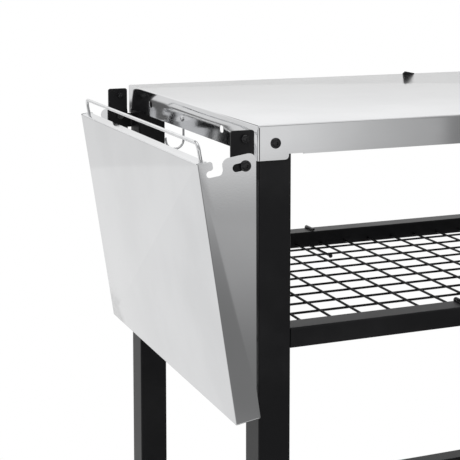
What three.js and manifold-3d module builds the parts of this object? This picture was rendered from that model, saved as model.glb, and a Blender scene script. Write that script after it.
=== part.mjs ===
import * as THREE from 'three';
import { mergeVertices } from 'three/addons/utils/BufferGeometryUtils.js';
import Module from 'manifold-3d';

const wasm = await Module();
wasm.setup();

// Lengths are millimetres. X runs right along the front, Y runs to the rear, Z runs up.
// Places are measured from the table's front left corner and the floor, and the
// finished cart is centred on X and Y at the very end.

// Clearances
const SEAT_GAP = 0.3;
const RUNNING_GAP = 0.5;
const OVERRUN = 1;
const SAME_POINT = 0.001;

// Table top, a folded pan of stainless sheet that is open below
const TABLE_WIDTH = 720;
const TABLE_DEPTH = 485.5;
const TABLE_HEIGHT = 860;
const TABLE_SHEET = 1.2;
const APRON_HEIGHT = 35;
const RELIEF_HEIGHT = 34;
const RELIEF_END = 57;
const TAB_WIDTH = 38.7;
const TAB_HEIGHT = 40.5;
const TAB_CORNER = 4.5;
const SIDE_TAB_WIDTH = 10;
const OVAL_LENGTH = 14;
const OVAL_HEIGHT = 9;
const OVAL_DROP = 18;
const OVAL_PLACES = { front: 112, rear: 382 };

// Legs, square tubes under the corners of the table
const LEG_SIZE = 40;
const LEG_WALL = 1.5;
const LEG_CORNER = 2;
const LEG_SIDE_GAP = 1.4;
const LEG_BELOW_AXLE = 20;

// Rubber foot caps on the left legs
const FOOT_WALL = 2;
const FOOT_FLOOR = 3;
const FOOT_HEIGHT = 25;

// Button head bolts that hold the table on the legs
const TABLE_BOLT_PLACE = 22.2;
const TABLE_BOLT_DROP = 21;
const TABLE_BOLT = { headRadius: 6.25, headHeight: 3.4, shankRadius: 3, length: 14 };
const HEXAGON_SIDES = 6;
const SOCKET_RADIUS = 2.2;
const SOCKET_DEPTH = 1.6;
const DOME_STEPS = 2;

// Stiffening channels under the table
const CHANNEL_WIDTH = 30;
const CHANNEL_HEIGHT = 15;
const CHANNEL_SHEET = 1.2;
const CHANNEL_COUNT = 2;

// Grid shelves between the legs
const MIDDLE_SHELF_DROP = 239;
const LOWER_SHELF_HEIGHT = 212;
const RAIL_DEPTH = 30;
const RAIL_HEIGHT = 24;
const RAIL_WALL = 1.5;
const RAIL_CORNER = 2;
const RAIL_END_WALL = 2;
const END_RAIL_INSET = 5;
const NET_WIRE = 3.2;
const NET_WELD_SINK = 0.6;
const NET_DROP = 16.7;
const NET_FIRST_ALONG = 51;
const NET_STEP_ALONG = 41.9;
const NET_COUNT_ALONG = 15;
const NET_FIRST_DEEP = 43.2;
const NET_STEP_DEEP = 38.7;
const NET_COUNT_DEEP = 11;
const RAIL_BOLT = { headRadius: 5.5, headHeight: 3, shankRadius: 3, length: 52 };

// Wheels on a fixed axle through the right legs
const TYRE_RADIUS = 65;
const TYRE_WIDTH = 24;
const TYRE_SHOULDER = 5;
const TYRE_SIDES = 32;
const RIM_RADIUS = 50;
const RIM_THICKNESS = 5;
const RIM_WIDTH = 20;
const BOSS_RADIUS = 14;
const BOSS_WIDTH = 26;
const SPOKE_COUNT = 6;
const SPOKE_WIDTH = 9;
const SPOKE_THICKNESS = 10;
const SPOKE_BITE = 2;
const AXLE_RADIUS = 5;
const AXLE_CAP_RADIUS = 9;
const AXLE_CAP_LENGTH = 8;
const AXLE_CAP_FLOOR = 2;
const AXLE_CAP_CHAMFER = 2;

// Folding side shelf, a stainless pan that hangs on two pivots at the left end
const PIVOT_OUT = 14.9;
const PIVOT_DROP = 44.7;
const SHELF_LEAN = THREE.MathUtils.degToRad(8.64);
const SHELF_SHEET = 1.2;
const SHELF_LENGTH = 309.4;
const FACE_TO_PIVOT = 56.5;
const END_TO_PIVOT = 13.5;
const SLOT_TRAVEL = 11.3;
const SLOT_RADIUS = 4.6;
const KEEPER_WIDTH = 17.8;
const KEEPER_HEIGHT = 10;
const KEEPER_CORNER = 3;
const NOTCH_END = 8.9;
const NOTCH_HEIGHT = 8;
const NOTCH_MOUTH_END = 29.4;
const NOTCH_CORNER = 6;
const LUG_CORNER = 8;
const LUG_SHOULDER = 12.5;
const FLANGE_DEPTH = 71.6;
const FLANGE_FOOT_DEPTH = 31;
const FLANGE_FOOT_LENGTH = 35.4;
const FLANGE_FOOT_BEND = 12;
const FLANGE_FOOT_CORNER = 2;
const LIP_DEPTH = 13;
const LIP_SIDE_GAP = 0.7;

// Bent rail across the hinge end of the side shelf
const BAR_RADIUS = 2.2;
const BAR_HEIGHT = 21;
const BAR_BEND = 8;
const BAR_POST_PLACE = 12.5;
const BAR_FOOT_DEPTH = 9;
const BAR_TOP_DEPTH = 8.5;
const BAR_FOOT_LENGTH = 6;

// Hinge fins, black plates on the outer faces of the left legs
const FIN_THICKNESS = 3;
const FIN_OUT = 32;
const FIN_TABLE_GAP = 3.6;
const FIN_TOP_DROP = 4.5;
const FIN_BOTTOM_DROP = 62;
const FIN_CORNER = 3;
const FIN_STEP_GAP = 1.1;

// Pivot bolts, with a shoulder that fills the slot of the side shelf
const PIVOT_BOLT = { headRadius: 6.5, headHeight: 3.5, shankRadius: 3, length: 11 };
const NUT_RADIUS = 5.6;
const NUT_HEIGHT = 4;

// Keeper studs, which the notches of the raised shelf catch
const STUD_RISE = 30.8;
const STUD_SHIFT = 0.5;
const STUD = { headRadius: 5, headHeight: 3, shankRadius: 2.5, length: 8.5 };
const STUD_NUT_RADIUS = 4.4;
const STUD_NUT_HEIGHT = 3;

// Wire hook below the left apron
const APRON_HOOK_PLACE = 250;
const APRON_HOOK_DROP = 21.5;
const APRON_HOOK_WIRE = 1.5;
const APRON_HOOK_EYE = 4.5;
const APRON_HOOK_BOTTOM = 62;
const APRON_HOOK_BEND = 11.5;
const APRON_HOOK_TIP_RISE = 15.5;
const APRON_HOOK_TIP_FLARE = 2;
const HOOK_SCREW = { headRadius: 4.2, headHeight: 2.2, shankRadius: 2, length: 9 };
const HOOK_NUT_RADIUS = 3.8;
const HOOK_NUT_HEIGHT = 2.6;

// Tool hooks on the long rails of the middle shelf
const TOOL_HOOK_WIRE = 2;
const TOOL_HOOK_BALL = 3.2;
const TOOL_HOOK_BEND = 3;
const TOOL_HOOK_REACH = 86;
const TOOL_HOOK_TOP_REACH = 26;
const TOOL_HOOK_PLACES = { rear: 292, front: 284 };

// Clip hook on the rear edge of the table
const CLIP_LEFT = 464;
const CLIP_WIDTH = 22;
const CLIP_THICKNESS = 2.5;
const CLIP_PEAK_RISE = 3.5;
const CLIP_PEAK_PLACE = 4.5;
const CLIP_LIP_HEIGHT = 9;
const CLIP_HOOK_REACH = 19;
const CLIP_HOOK_TIP = 12;

// Roundness of curved surfaces
const ROUND_SIDES = 16;
const FASTENER_SIDES = 8;
const WIRE_SIDES = 8;
const ARC_STEP = Math.PI / 8;

// Levels and faces that several pieces share
const TABLE_UNDERSIDE = TABLE_HEIGHT - TABLE_SHEET;
const LEG_TOP = TABLE_UNDERSIDE - SEAT_GAP;
const LEG_FRONT = TABLE_SHEET + SEAT_GAP;
const LEG_OUTER = TABLE_SHEET + LEG_SIDE_GAP;
const SHELF_TOPS = {
  middle: TABLE_HEIGHT - MIDDLE_SHELF_DROP,
  lower: LOWER_SHELF_HEIGHT,
};
const AXLE_HEIGHT = TYRE_RADIUS * Math.cos(Math.PI / TYRE_SIDES);
const AXLE_PLACE = TABLE_WIDTH - LEG_OUTER - LEG_SIZE / 2;
const PIVOT_X = -PIVOT_OUT;
const PIVOT_Z = TABLE_HEIGHT - PIVOT_DROP;
const FIN_FRONT = SHELF_SHEET + SEAT_GAP;
const FIN_REAR = FIN_FRONT + FIN_THICKNESS;

const FINISHES = {
  stainless: { color: 0xc8c9cb, roughness: 0.3, metalness: 1 },
  blackPaint: { color: 0x1c1c1d, roughness: 0.42, metalness: 0.3 },
  blackHardware: { color: 0x141415, roughness: 0.35, metalness: 0.6 },
  chrome: { color: 0xdddee0, roughness: 0.08, metalness: 1 },
  blackPlastic: { color: 0x17171a, roughness: 0.5, metalness: 0 },
  rubber: { color: 0x1a1a1a, roughness: 0.9, metalness: 0 },
};

// Turns a closed geometry into a solid that can be joined and cut.
function solidOf(geometry) {
  const bare = new THREE.BufferGeometry();
  bare.setAttribute('position', geometry.getAttribute('position').clone());
  if (geometry.index) {
    bare.setIndex(geometry.index.clone());
  }
  const merged = mergeVertices(bare);
  const places = merged.getAttribute('position').array;
  const corners = [];
  for (let at = 0; at < merged.index.count; at += 3) {
    const [a, b, c] = merged.index.array.slice(at, at + 3);
    if (a !== b && b !== c && c !== a) {
      corners.push([a, b, c]);
    }
  }
  const outward = signedVolume(places, corners) > 0;
  const ordered = corners.map(([a, b, c]) => (outward ? [a, b, c] : [a, c, b]));
  const vertProperties = new Float32Array(places);
  const triVerts = new Uint32Array(ordered.flat());
  return new wasm.Manifold(new wasm.Mesh({ numProp: 3, vertProperties, triVerts }));
}

function signedVolume(places, corners) {
  const point = (index) => new THREE.Vector3().fromArray(places, index * 3);
  const parts = corners.map(([a, b, c]) => point(a).dot(point(b).cross(point(c))) / 6);
  return parts.reduce((sum, part) => sum + part, 0);
}

function geometryOf(solid) {
  const { vertProperties, triVerts } = solid.getMesh();
  const geometry = new THREE.BufferGeometry();
  geometry.setAttribute('position', new THREE.Float32BufferAttribute(vertProperties, 3));
  geometry.setIndex(new THREE.Uint32BufferAttribute(triVerts, 1));
  geometry.computeVertexNormals();
  return geometry;
}

function joined(solids) {
  return solids.reduce((whole, solid) => whole.add(solid));
}

function cutBy(solid, cutters) {
  return cutters.reduce((left, cutter) => left.subtract(cutter), solid);
}

function piece(name, solid, finish) {
  const material = new THREE.MeshStandardMaterial({ ...FINISHES[finish], flatShading: true });
  const mesh = new THREE.Mesh(geometryOf(solid), material);
  mesh.name = name;
  return mesh;
}

function block([left, right], [front, rear], [bottom, top]) {
  const geometry = new THREE.BoxGeometry(right - left, rear - front, top - bottom);
  geometry.translate((left + right) / 2, (front + rear) / 2, (bottom + top) / 2);
  return solidOf(geometry);
}

function rodAlongY(x, z, radius, [front, rear], sides = FASTENER_SIDES) {
  const geometry = new THREE.CylinderGeometry(radius, radius, rear - front, sides);
  geometry.translate(x, (front + rear) / 2, z);
  return solidOf(geometry);
}

function rodAlongX(y, z, radius, [left, right], sides = FASTENER_SIDES) {
  const geometry = new THREE.CylinderGeometry(radius, radius, right - left, sides);
  geometry.rotateZ(Math.PI / 2);
  geometry.translate((left + right) / 2, y, z);
  return solidOf(geometry);
}

// A corner of an outline or of a bent wire, with the radius that rounds it.
function corner(x, y, radius = 0) {
  return { at: new THREE.Vector3(x, y, 0), radius };
}

function bend(x, y, z, radius = 0) {
  return { at: new THREE.Vector3(x, y, z), radius };
}

function arcAround({ at, radius }, before, after) {
  const backward = before.clone().sub(at).normalize();
  const forward = after.clone().sub(at).normalize();
  const opening = backward.angleTo(forward);
  const turn = Math.PI - opening;
  const reach = radius * Math.tan(turn / 2);
  const middle = backward.clone().add(forward).normalize();
  const centre = at.clone().addScaledVector(middle, radius / Math.sin(opening / 2));
  const first = at.clone().addScaledVector(backward, reach).sub(centre);
  const last = at.clone().addScaledVector(forward, reach).sub(centre);
  const steps = Math.max(1, Math.ceil(turn / ARC_STEP));
  return Array.from({ length: steps + 1 }, (_, step) => {
    const angle = (turn * step) / steps;
    const arm = first.clone().multiplyScalar(Math.sin(turn - angle));
    arm.addScaledVector(last, Math.sin(angle)).divideScalar(Math.sin(turn));
    return arm.add(centre);
  });
}

function filleted(corners, closed) {
  const lastIndex = corners.length - 1;
  const points = corners.flatMap((one, index) => {
    const isEnd = !closed && (index === 0 || index === lastIndex);
    if (isEnd || one.radius === 0) {
      return [one.at];
    }
    return arcAround(one, corners.at(index - 1).at, corners[(index + 1) % corners.length].at);
  });
  const apart = points.filter((point, index) => (
    index === 0 || point.distanceTo(points[index - 1]) > SAME_POINT
  ));
  if (closed && apart[0].distanceTo(apart.at(-1)) < SAME_POINT) {
    apart.pop();
  }
  return apart;
}

function flatPoints(corners) {
  return filleted(corners, true).map(({ x, y }) => new THREE.Vector2(x, y));
}

function outline(corners, holes = []) {
  const shape = new THREE.Shape(flatPoints(corners));
  shape.holes = holes.map((hole) => new THREE.Path(flatPoints(hole)));
  return shape;
}

function roundedRectangle([left, right], [low, high], radius) {
  return [
    corner(left, low, radius),
    corner(right, low, radius),
    corner(right, high, radius),
    corner(left, high, radius),
  ];
}

// Extrudes an outline drawn on X and Z, from the front face to the rear one.
function plateAcrossY(shape, [front, rear]) {
  const geometry = new THREE.ExtrudeGeometry(shape, { depth: rear - front, bevelEnabled: false });
  geometry.rotateX(Math.PI / 2);
  geometry.translate(0, rear, 0);
  return solidOf(geometry);
}

// Extrudes an outline drawn on Y and Z, from the left face to the right one.
function plateAcrossX(shape, [left, right]) {
  const geometry = new THREE.ExtrudeGeometry(shape, { depth: right - left, bevelEnabled: false });
  geometry.rotateX(Math.PI / 2);
  geometry.rotateZ(Math.PI / 2);
  geometry.translate(left, 0, 0);
  return solidOf(geometry);
}

// Extrudes an outline drawn on X and Y, from the bottom to the top.
function column(shape, [bottom, top]) {
  const geometry = new THREE.ExtrudeGeometry(shape, { depth: top - bottom, bevelEnabled: false });
  geometry.translate(0, 0, bottom);
  return solidOf(geometry);
}

// The route of a bent wire, with one section at each of its points.
class BentPath extends THREE.Curve {
  constructor(points) {
    super();
    this.points = points;
  }

  indexAt(share) {
    return Math.round(share * (this.points.length - 1));
  }

  getPointAt(share) {
    return this.points[this.indexAt(share)].clone();
  }

  getTangentAt(share) {
    const index = this.indexAt(share);
    const here = this.points[index];
    const before = this.points[Math.max(index - 1, 0)];
    const after = this.points[Math.min(index + 1, this.points.length - 1)];
    const arriving = here.clone().sub(before).normalize();
    const leaving = after.clone().sub(here).normalize();
    return arriving.add(leaving).normalize();
  }
}

function bentWire(bends, radius) {
  const points = filleted(bends, false);
  const section = Array.from({ length: WIRE_SIDES }, (_, side) => {
    const angle = (2 * Math.PI * side) / WIRE_SIDES;
    return new THREE.Vector2(radius * Math.cos(angle), radius * Math.sin(angle));
  });
  const extrudePath = new BentPath(points);
  const steps = points.length - 1;
  return solidOf(new THREE.ExtrudeGeometry(new THREE.Shape(section), { steps, extrudePath }));
}

function ball(x, y, z, radius) {
  const geometry = new THREE.SphereGeometry(radius, WIRE_SIDES, WIRE_SIDES / 2);
  geometry.rotateX(Math.PI / 2);
  geometry.translate(x, y, z);
  return solidOf(geometry);
}

// Revolves a profile of radii and places along Y.
function turned(profile, sides = FASTENER_SIDES, start = 0) {
  const points = profile.map(([radius, y]) => new THREE.Vector2(radius, y));
  return solidOf(new THREE.LatheGeometry(points, sides, start));
}

function domeProfile(headRadius, headHeight) {
  return Array.from({ length: DOME_STEPS + 1 }, (_, step) => {
    const angle = (Math.PI / 2) * (step / DOME_STEPS);
    return [headRadius * Math.sin(angle), -headHeight * Math.cos(angle)];
  });
}

// A bolt along +Y: a domed head in front of Y = 0, a shank behind it, and a hexagon socket.
function bolt({ headRadius, headHeight, shankRadius, length }, shoulder = null) {
  const profile = domeProfile(headRadius, headHeight);
  if (shoulder) {
    profile.push([shoulder.radius, 0], [shoulder.radius, shoulder.length]);
    profile.push([shankRadius, shoulder.length], [shankRadius, length], [0, length]);
  } else {
    profile.push([shankRadius, 0], [shankRadius, length], [0, length]);
  }
  const socketEnd = SOCKET_DEPTH - headHeight;
  const socket = rodAlongY(0, 0, SOCKET_RADIUS, [-headHeight - OVERRUN, socketEnd], HEXAGON_SIDES);
  return turned(profile).subtract(socket);
}

// A hexagon nut along +Y, from Y = 0, bored for a shank.
function nut(radius, height, shankRadius) {
  const body = rodAlongY(0, 0, radius, [0, height], HEXAGON_SIDES);
  return body.subtract(rodAlongY(0, 0, shankRadius + SEAT_GAP, [-OVERRUN, height + OVERRUN]));
}

// Faces along Y, given from the front, or their mirror images at the rear.
function fromFront(isFront, [front, rear]) {
  return isFront ? [front, rear] : [TABLE_DEPTH - rear, TABLE_DEPTH - front];
}

function fromLeft(isLeft, [left, right]) {
  return isLeft ? [left, right] : [TABLE_WIDTH - right, TABLE_WIDTH - left];
}

// Places a piece made along +Y, pointing rearward at the front or forward at the rear.
function placeAlongY(mesh, isFront, x, y, z) {
  mesh.position.set(x, isFront ? y : TABLE_DEPTH - y, z);
  mesh.rotation.z = isFront ? 0 : Math.PI;
  return mesh;
}

function placeAlongX(mesh, isLeft, x, y, z) {
  mesh.position.set(isLeft ? x : TABLE_WIDTH - x, y, z);
  mesh.rotation.z = isLeft ? -Math.PI / 2 : Math.PI / 2;
  return mesh;
}

function cornerName(isFront, isLeft) {
  return `${isFront ? 'front' : 'rear'}_${isLeft ? 'left' : 'right'}`;
}

const SIDES = [true, false];
const CORNERS = SIDES.flatMap((isFront) => SIDES.map((isLeft) => ({ isFront, isLeft })));

// Table top
function frontApronOutline() {
  const left = [
    corner(0, TABLE_HEIGHT),
    corner(0, TABLE_HEIGHT - TAB_HEIGHT, TAB_CORNER),
    corner(TAB_WIDTH, TABLE_HEIGHT - TAB_HEIGHT, TAB_CORNER),
    corner(TAB_WIDTH, TABLE_HEIGHT - RELIEF_HEIGHT),
    corner(RELIEF_END, TABLE_HEIGHT - RELIEF_HEIGHT),
    corner(RELIEF_END, TABLE_HEIGHT - APRON_HEIGHT),
  ];
  const right = left.map(({ at, radius }) => corner(TABLE_WIDTH - at.x, at.y, radius));
  return outline([...left, ...right.reverse()]);
}

function sideApronOutline() {
  const ovals = Object.values(OVAL_PLACES).map((place) => roundedRectangle(
    [place - OVAL_LENGTH / 2, place + OVAL_LENGTH / 2],
    [TABLE_HEIGHT - OVAL_DROP - OVAL_HEIGHT / 2, TABLE_HEIGHT - OVAL_DROP + OVAL_HEIGHT / 2],
    OVAL_HEIGHT / 2,
  ));
  return outline([
    corner(0, TABLE_HEIGHT),
    corner(0, TABLE_HEIGHT - TAB_HEIGHT),
    corner(SIDE_TAB_WIDTH, TABLE_HEIGHT - TAB_HEIGHT),
    corner(SIDE_TAB_WIDTH, TABLE_HEIGHT - APRON_HEIGHT),
    corner(TABLE_DEPTH - SIDE_TAB_WIDTH, TABLE_HEIGHT - APRON_HEIGHT),
    corner(TABLE_DEPTH - SIDE_TAB_WIDTH, TABLE_HEIGHT - TAB_HEIGHT),
    corner(TABLE_DEPTH, TABLE_HEIGHT - TAB_HEIGHT),
    corner(TABLE_DEPTH, TABLE_HEIGHT),
  ], ovals);
}

function tableTop() {
  const sheet = block([0, TABLE_WIDTH], [0, TABLE_DEPTH], [TABLE_UNDERSIDE, TABLE_HEIGHT]);
  const longAprons = SIDES.map((isFront) => (
    plateAcrossY(frontApronOutline(), fromFront(isFront, [0, TABLE_SHEET]))
  ));
  const endAprons = SIDES.map((isLeft) => (
    plateAcrossX(sideApronOutline(), fromLeft(isLeft, [0, TABLE_SHEET]))
  ));
  const boltHoles = CORNERS.map(({ isFront, isLeft }) => rodAlongY(
    fromLeft(isLeft, [TABLE_BOLT_PLACE, TABLE_BOLT_PLACE])[0],
    TABLE_HEIGHT - TABLE_BOLT_DROP,
    TABLE_BOLT.shankRadius + SEAT_GAP,
    fromFront(isFront, [-OVERRUN, TABLE_SHEET + OVERRUN]),
  ));
  const screwHole = rodAlongX(
    APRON_HOOK_PLACE,
    TABLE_HEIGHT - APRON_HOOK_DROP,
    HOOK_SCREW.shankRadius + SEAT_GAP,
    [-OVERRUN, TABLE_SHEET + OVERRUN],
  );
  return cutBy(joined([sheet, ...longAprons, ...endAprons]), [...boltHoles, screwHole]);
}

function tableBolts() {
  return CORNERS.map(({ isFront, isLeft }) => {
    const mesh = piece(`table_bolt_${cornerName(isFront, isLeft)}`, bolt(TABLE_BOLT), 'blackHardware');
    const [x] = fromLeft(isLeft, [TABLE_BOLT_PLACE, TABLE_BOLT_PLACE]);
    return placeAlongY(mesh, isFront, x, -SEAT_GAP, TABLE_HEIGHT - TABLE_BOLT_DROP);
  });
}

// Stiffening channels, shared out evenly over the depth of the table
function channel(index) {
  const middle = (TABLE_DEPTH * (index + 1)) / (CHANNEL_COUNT + 1);
  const ends = [TABLE_SHEET + SEAT_GAP, TABLE_WIDTH - TABLE_SHEET - SEAT_GAP];
  const half = CHANNEL_WIDTH / 2;
  const inner = half - CHANNEL_SHEET;
  const bottom = LEG_TOP - CHANNEL_HEIGHT;
  const outer = block(ends, [middle - half, middle + half], [bottom, LEG_TOP]);
  const hollow = block(
    [ends[0] - OVERRUN, ends[1] + OVERRUN],
    [middle - inner, middle + inner],
    [bottom - OVERRUN, LEG_TOP - CHANNEL_SHEET],
  );
  return outer.subtract(hollow);
}

// Legs
function railLevel(shelf) {
  return SHELF_TOPS[shelf] - RAIL_HEIGHT / 2;
}

const RAIL_MIDDLE = LEG_FRONT + RAIL_DEPTH / 2;

function legSpans(isFront, isLeft) {
  return {
    across: fromLeft(isLeft, [LEG_OUTER, LEG_OUTER + LEG_SIZE]),
    deep: fromFront(isFront, [LEG_FRONT, LEG_FRONT + LEG_SIZE]),
  };
}

function inset([low, high], amount) {
  return [low + amount, high - amount];
}

function leg(isFront, isLeft) {
  const { across, deep } = legSpans(isFront, isLeft);
  const bottom = isLeft ? FOOT_FLOOR + SEAT_GAP : AXLE_HEIGHT - LEG_BELOW_AXLE;
  const hollow = roundedRectangle(inset(across, LEG_WALL), inset(deep, LEG_WALL), LEG_CORNER - LEG_WALL);
  const tube = column(outline(roundedRectangle(across, deep, LEG_CORNER), [hollow]), [bottom, LEG_TOP]);
  const cutters = [
    rodAlongY(
      fromLeft(isLeft, [TABLE_BOLT_PLACE, TABLE_BOLT_PLACE])[0],
      TABLE_HEIGHT - TABLE_BOLT_DROP,
      TABLE_BOLT.shankRadius + SEAT_GAP,
      fromFront(isFront, [LEG_FRONT - OVERRUN, LEG_FRONT + LEG_WALL + OVERRUN]),
    ),
  ];
  const [boltPlace] = fromFront(isFront, [RAIL_MIDDLE, RAIL_MIDDLE]);
  for (const shelf of Object.keys(SHELF_TOPS)) {
    const hole = RAIL_BOLT.shankRadius + SEAT_GAP;
    cutters.push(rodAlongX(boltPlace, railLevel(shelf), hole, inset(across, -OVERRUN)));
  }
  if (!isLeft) {
    const bore = inset(deep, -OVERRUN);
    cutters.push(rodAlongY(AXLE_PLACE, AXLE_HEIGHT, AXLE_RADIUS + SEAT_GAP, bore, ROUND_SIDES));
  }
  return cutBy(tube, cutters);
}

function footCap(isFront) {
  const { across, deep } = legSpans(isFront, true);
  const outer = block(
    inset(across, -SEAT_GAP - FOOT_WALL),
    inset(deep, -SEAT_GAP - FOOT_WALL),
    [0, FOOT_HEIGHT],
  );
  const pocket = block(
    inset(across, -SEAT_GAP),
    inset(deep, -SEAT_GAP),
    [FOOT_FLOOR, FOOT_HEIGHT + OVERRUN],
  );
  return outer.subtract(pocket);
}

// Grid shelves
function railSection(sides, level) {
  const heights = [level - RAIL_HEIGHT / 2, level + RAIL_HEIGHT / 2];
  const bore = roundedRectangle(inset(sides, RAIL_WALL), inset(heights, RAIL_WALL), RAIL_CORNER / 2);
  return { outer: roundedRectangle(sides, heights, RAIL_CORNER), bore };
}

function longRail(shelf, isFront) {
  const level = railLevel(shelf);
  const end = LEG_OUTER + LEG_SIZE + SEAT_GAP;
  const ends = [end, TABLE_WIDTH - end];
  const sides = fromFront(isFront, [LEG_FRONT, LEG_FRONT + RAIL_DEPTH]);
  const { outer, bore } = railSection(sides, level);
  const body = plateAcrossX(outline(outer), ends);
  const hollow = plateAcrossX(outline(bore), inset(ends, RAIL_END_WALL));
  const [place] = fromFront(isFront, [RAIL_MIDDLE, RAIL_MIDDLE]);
  const holes = rodAlongX(place, level, RAIL_BOLT.shankRadius + SEAT_GAP, inset(ends, -OVERRUN));
  return cutBy(body, [hollow, holes]);
}

function endRail(shelf, isLeft) {
  const front = LEG_FRONT + LEG_SIZE + SEAT_GAP;
  const sides = fromLeft(isLeft, [END_RAIL_INSET, END_RAIL_INSET + RAIL_DEPTH]);
  const { outer, bore } = railSection(sides, railLevel(shelf));
  return plateAcrossY(outline(outer, [bore]), [front, TABLE_DEPTH - front]);
}

function wirePlaces(first, step, count) {
  return Array.from({ length: count }, (_, index) => first + index * step);
}

// Both faces of every wire, so that the odd steps between two cuts are wire
function wireCuts(places, [low, high]) {
  return [low, ...places.flatMap((place) => [place - NET_WIRE / 2, place + NET_WIRE / 2]), high];
}

function isOdd(index) {
  return index % 2 === 1;
}

// A flat grid whose cells are filled wherever a wire runs, with walls around its openings
function gridPlate(xCuts, yCuts, [bottom, top]) {
  const places = [];
  const addQuad = (a, b, c, d) => places.push(a, b, c, a, c, d);
  const isWire = (i, j) => (
    xCuts[i] !== undefined && xCuts[i + 1] !== undefined
    && yCuts[j] !== undefined && yCuts[j + 1] !== undefined
    && (isOdd(i) || isOdd(j))
  );
  const addCell = (i, j) => {
    const [left, right] = [xCuts[i], xCuts[i + 1]];
    const [front, rear] = [yCuts[j], yCuts[j + 1]];
    const round = [[left, front], [right, front], [right, rear], [left, rear]];
    const neighbours = [[i, j - 1], [i + 1, j], [i, j + 1], [i - 1, j]];
    addQuad(...round.map(([x, y]) => [x, y, top]));
    addQuad(...round.toReversed().map(([x, y]) => [x, y, bottom]));
    neighbours.forEach(([column, row], side) => {
      if (!isWire(column, row)) {
        const [a, b] = [round[side], round[(side + 1) % round.length]];
        addQuad([...a, bottom], [...b, bottom], [...b, top], [...a, top]);
      }
    });
  };
  for (let i = 0; i < xCuts.length - 1; i += 1) {
    for (let j = 0; j < yCuts.length - 1; j += 1) {
      if (isWire(i, j)) {
        addCell(i, j);
      }
    }
  }
  const geometry = new THREE.BufferGeometry();
  geometry.setAttribute('position', new THREE.Float32BufferAttribute(places.flat(), 3));
  return solidOf(geometry);
}

// The welded wires of one shelf, both layers as one flat grid that runs out to the rails
function net(shelf) {
  const top = SHELF_TOPS[shelf] - NET_DROP;
  const left = END_RAIL_INSET + RAIL_DEPTH + SEAT_GAP;
  const front = LEG_FRONT + RAIL_DEPTH + SEAT_GAP;
  const along = wirePlaces(NET_FIRST_ALONG, NET_STEP_ALONG, NET_COUNT_ALONG);
  const deep = wirePlaces(NET_FIRST_DEEP, NET_STEP_DEEP, NET_COUNT_DEEP);
  const xCuts = wireCuts(along, [left, TABLE_WIDTH - left]);
  const yCuts = wireCuts(deep, [front, TABLE_DEPTH - front]);
  return gridPlate(xCuts, yCuts, [top - 2 * NET_WIRE + NET_WELD_SINK, top]);
}

function gridShelf(shelf) {
  const meshes = [piece(`${shelf}_shelf_net`, net(shelf), 'blackPaint')];
  for (const isFront of SIDES) {
    const name = `${shelf}_shelf_rail_${isFront ? 'front' : 'rear'}`;
    meshes.push(piece(name, longRail(shelf, isFront), 'blackPaint'));
  }
  for (const isLeft of SIDES) {
    const name = `${shelf}_shelf_rail_${isLeft ? 'left' : 'right'}`;
    meshes.push(piece(name, endRail(shelf, isLeft), 'blackPaint'));
  }
  for (const { isFront, isLeft } of CORNERS) {
    const name = `${shelf}_shelf_bolt_${cornerName(isFront, isLeft)}`;
    const [y] = fromFront(isFront, [RAIL_MIDDLE, RAIL_MIDDLE]);
    const mesh = piece(name, bolt(RAIL_BOLT), 'blackHardware');
    meshes.push(placeAlongX(mesh, isLeft, LEG_OUTER - SEAT_GAP, y, railLevel(shelf)));
  }
  return meshes;
}

// Wheels. Y = 0 is the middle of the wheel's width, and a flat of the tyre faces down.
const WHEEL_PLACE = LEG_FRONT - RUNNING_GAP - BOSS_WIDTH / 2;
const FLAT_TURN = Math.PI / TYRE_SIDES;

function tyre() {
  const half = TYRE_WIDTH / 2;
  const bore = RIM_RADIUS + SEAT_GAP;
  const profile = [
    [bore, -half],
    [TYRE_RADIUS - TYRE_SHOULDER, -half],
    [TYRE_RADIUS, TYRE_SHOULDER - half],
    [TYRE_RADIUS, half - TYRE_SHOULDER],
    [TYRE_RADIUS - TYRE_SHOULDER, half],
    [bore, half],
    [bore, -half],
  ];
  return turned(profile, TYRE_SIDES, FLAT_TURN);
}

function ring(outerRadius, innerRadius, width, sides) {
  const half = width / 2;
  const profile = [
    [innerRadius, -half],
    [outerRadius, -half],
    [outerRadius, half],
    [innerRadius, half],
    [innerRadius, -half],
  ];
  return turned(profile, sides, Math.PI / sides);
}

function spoke(index) {
  const inner = BOSS_RADIUS - SPOKE_BITE;
  const outer = RIM_RADIUS - RIM_THICKNESS + SPOKE_BITE;
  const geometry = new THREE.BoxGeometry(SPOKE_WIDTH, SPOKE_THICKNESS, outer - inner);
  geometry.translate(0, 0, (inner + outer) / 2);
  geometry.rotateY((2 * Math.PI * index) / SPOKE_COUNT);
  return solidOf(geometry);
}

function wheelHub() {
  const rim = ring(RIM_RADIUS, RIM_RADIUS - RIM_THICKNESS, RIM_WIDTH, TYRE_SIDES);
  const boss = ring(BOSS_RADIUS, AXLE_RADIUS + SEAT_GAP, BOSS_WIDTH, ROUND_SIDES);
  const spokes = Array.from({ length: SPOKE_COUNT }, (_, index) => spoke(index));
  return joined([rim, boss, ...spokes]);
}

// The dome that holds a wheel on: open towards the wheel, and closed over the axle's end
function axleCap() {
  const bore = AXLE_RADIUS + SEAT_GAP;
  return turned([
    [0, 0],
    [AXLE_CAP_RADIUS - AXLE_CAP_CHAMFER, 0],
    [AXLE_CAP_RADIUS, AXLE_CAP_CHAMFER],
    [AXLE_CAP_RADIUS, AXLE_CAP_LENGTH],
    [bore, AXLE_CAP_LENGTH],
    [bore, AXLE_CAP_FLOOR],
    [0, AXLE_CAP_FLOOR],
  ], ROUND_SIDES);
}

const AXLE_CAP_PLACE = WHEEL_PLACE - BOSS_WIDTH / 2 - RUNNING_GAP - AXLE_CAP_LENGTH;

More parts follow.
